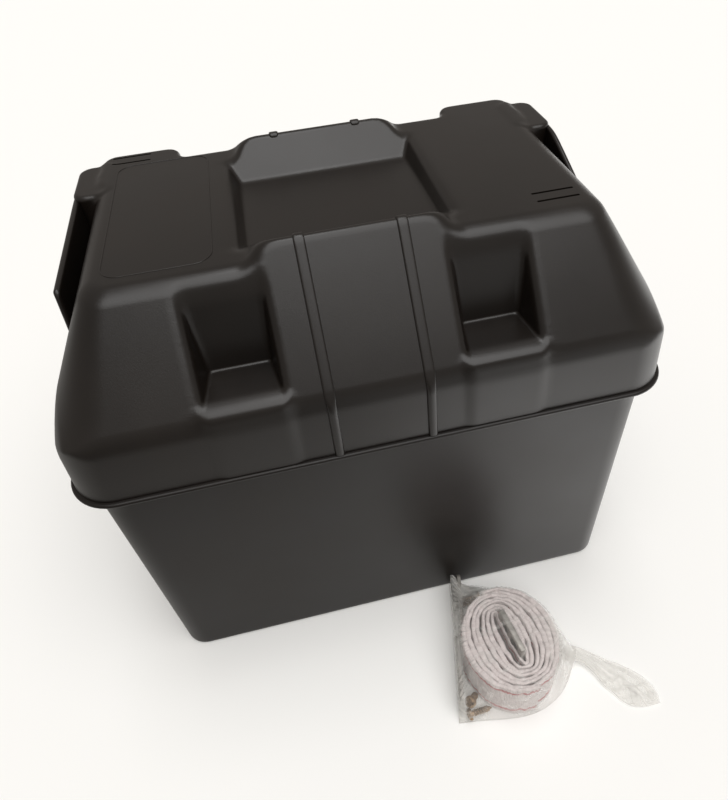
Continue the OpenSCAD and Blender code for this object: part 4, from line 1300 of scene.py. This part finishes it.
def makeFloor(s):
    # one wide sheet of seamless paper, plain white to the camera. Reflections see painted shade
    # on it, darker on the left and far in front, and a painted glow on the right that stands in
    # for a window, which the box's glossy front shows as a painted reflection
    size = s["floorSize"]
    mesh = bpy.data.meshes.new("floor")
    mesh.from_pydata([(-size, -size, 0), (size, -size, 0), (size, size, 0), (-size, size, 0)],
                     [], [(0, 1, 2, 3)])
    obj = addObject("floor", mesh)
    material, tree, coords = newMaterial("matt white paper with painted shade and glow in reflections")
    material.cycles.emission_sampling = "NONE"
    white = toLinear(s["floorHex"])
    paper = addNode(tree, "ShaderNodeBsdfDiffuse", {"Color": white})
    split = addNode(tree, "ShaderNodeSeparateXYZ", {"Vector": coords.outputs["Object"]})
    along = split.outputs["X"]
    # painted shade for reflections: darker far in front, and the glow held back near the box's foot
    far, near = [addNode(tree, "ShaderNodeMapRange",
                         {"Value": split.outputs["Y"], "From Min": s[key][0], "From Max": s[key][1],
                          "To Min": s[key][2], "To Max": 1.0}, interpolation_type="SMOOTHSTEP")
                 for key in ("dim", "close")]
    # painted shade for reflections, darker towards the left
    light = addNode(tree, "ShaderNodeMapRange",
                    {"Value": along, "From Min": s["shade"][0], "From Max": s["shade"][1]})
    tone = addNode(tree, "ShaderNodeMix",
                   {"Factor": light, 6: toLinear(s["shadeHex"]), 7: white},
                   data_type="RGBA")
    dimmed = addNode(tree, "ShaderNodeVectorMath",
                     {0: tone.outputs[2], "Scale": far}, operation="SCALE")
    shaded = addNode(tree, "ShaderNodeBsdfDiffuse", {"Color": dimmed})
    path = addNode(tree, "ShaderNodeLightPath")
    # painted glow: the floor emits for reflections only, brightest on the right
    glowRamp = addNode(tree, "ShaderNodeMapRange",
                   {"Value": along, "From Min": s["glow"][0], "From Max": s["glow"][1],
                    "To Max": s["glow"][2]}, interpolation_type="SMOOTHSTEP")
    strength = glowRamp
    for factor in (far, near, path.outputs["Is Glossy Ray"]):
        strength = addNode(tree, "ShaderNodeMath", {0: strength, 1: factor}, operation="MULTIPLY")
    paintedGlow = addNode(tree, "ShaderNodeEmission", {"Strength": strength})
    both = addNode(tree, "ShaderNodeAddShader",
                   {0: shaded, 1: paintedGlow})
    seen = addNode(tree, "ShaderNodeMixShader",
                   {"Fac": path.outputs["Is Camera Ray"], 1: both,
                    2: paper})
    addNode(tree, "ShaderNodeOutputMaterial", {"Surface": seen})
    mesh.materials.append(material)


def makeWorld(s):
    # the same pale grey all round, for light, for reflections and behind the object
    world = bpy.data.worlds.new("studio")
    world.use_nodes = True
    tree = world.node_tree
    tree.nodes.clear()
    soft = addNode(tree, "ShaderNodeBackground",
                   {"Color": toLinear(s["worldHex"]), "Strength": s["worldStrength"]})
    addNode(tree, "ShaderNodeOutputWorld", {"Surface": soft})
    scene.world = world


def addSoftbox(name, way, strength, angle):
    # far off and very wide, so its light is even all over the floor
    data = bpy.data.lights.new(name, "SUN")
    data.energy, data.angle = strength, np.radians(angle)
    obj = addObject(name, data)
    obj.rotation_mode = "QUATERNION"
    obj.rotation_quaternion = (-Vector(way)).to_track_quat("-Z", "Y")


makeFloor(studio)
makeWorld(studio)
for softbox in studio["softboxes"]:
    addSoftbox(*softbox)
scene.view_settings.view_transform = "Standard"
print("studio lit")
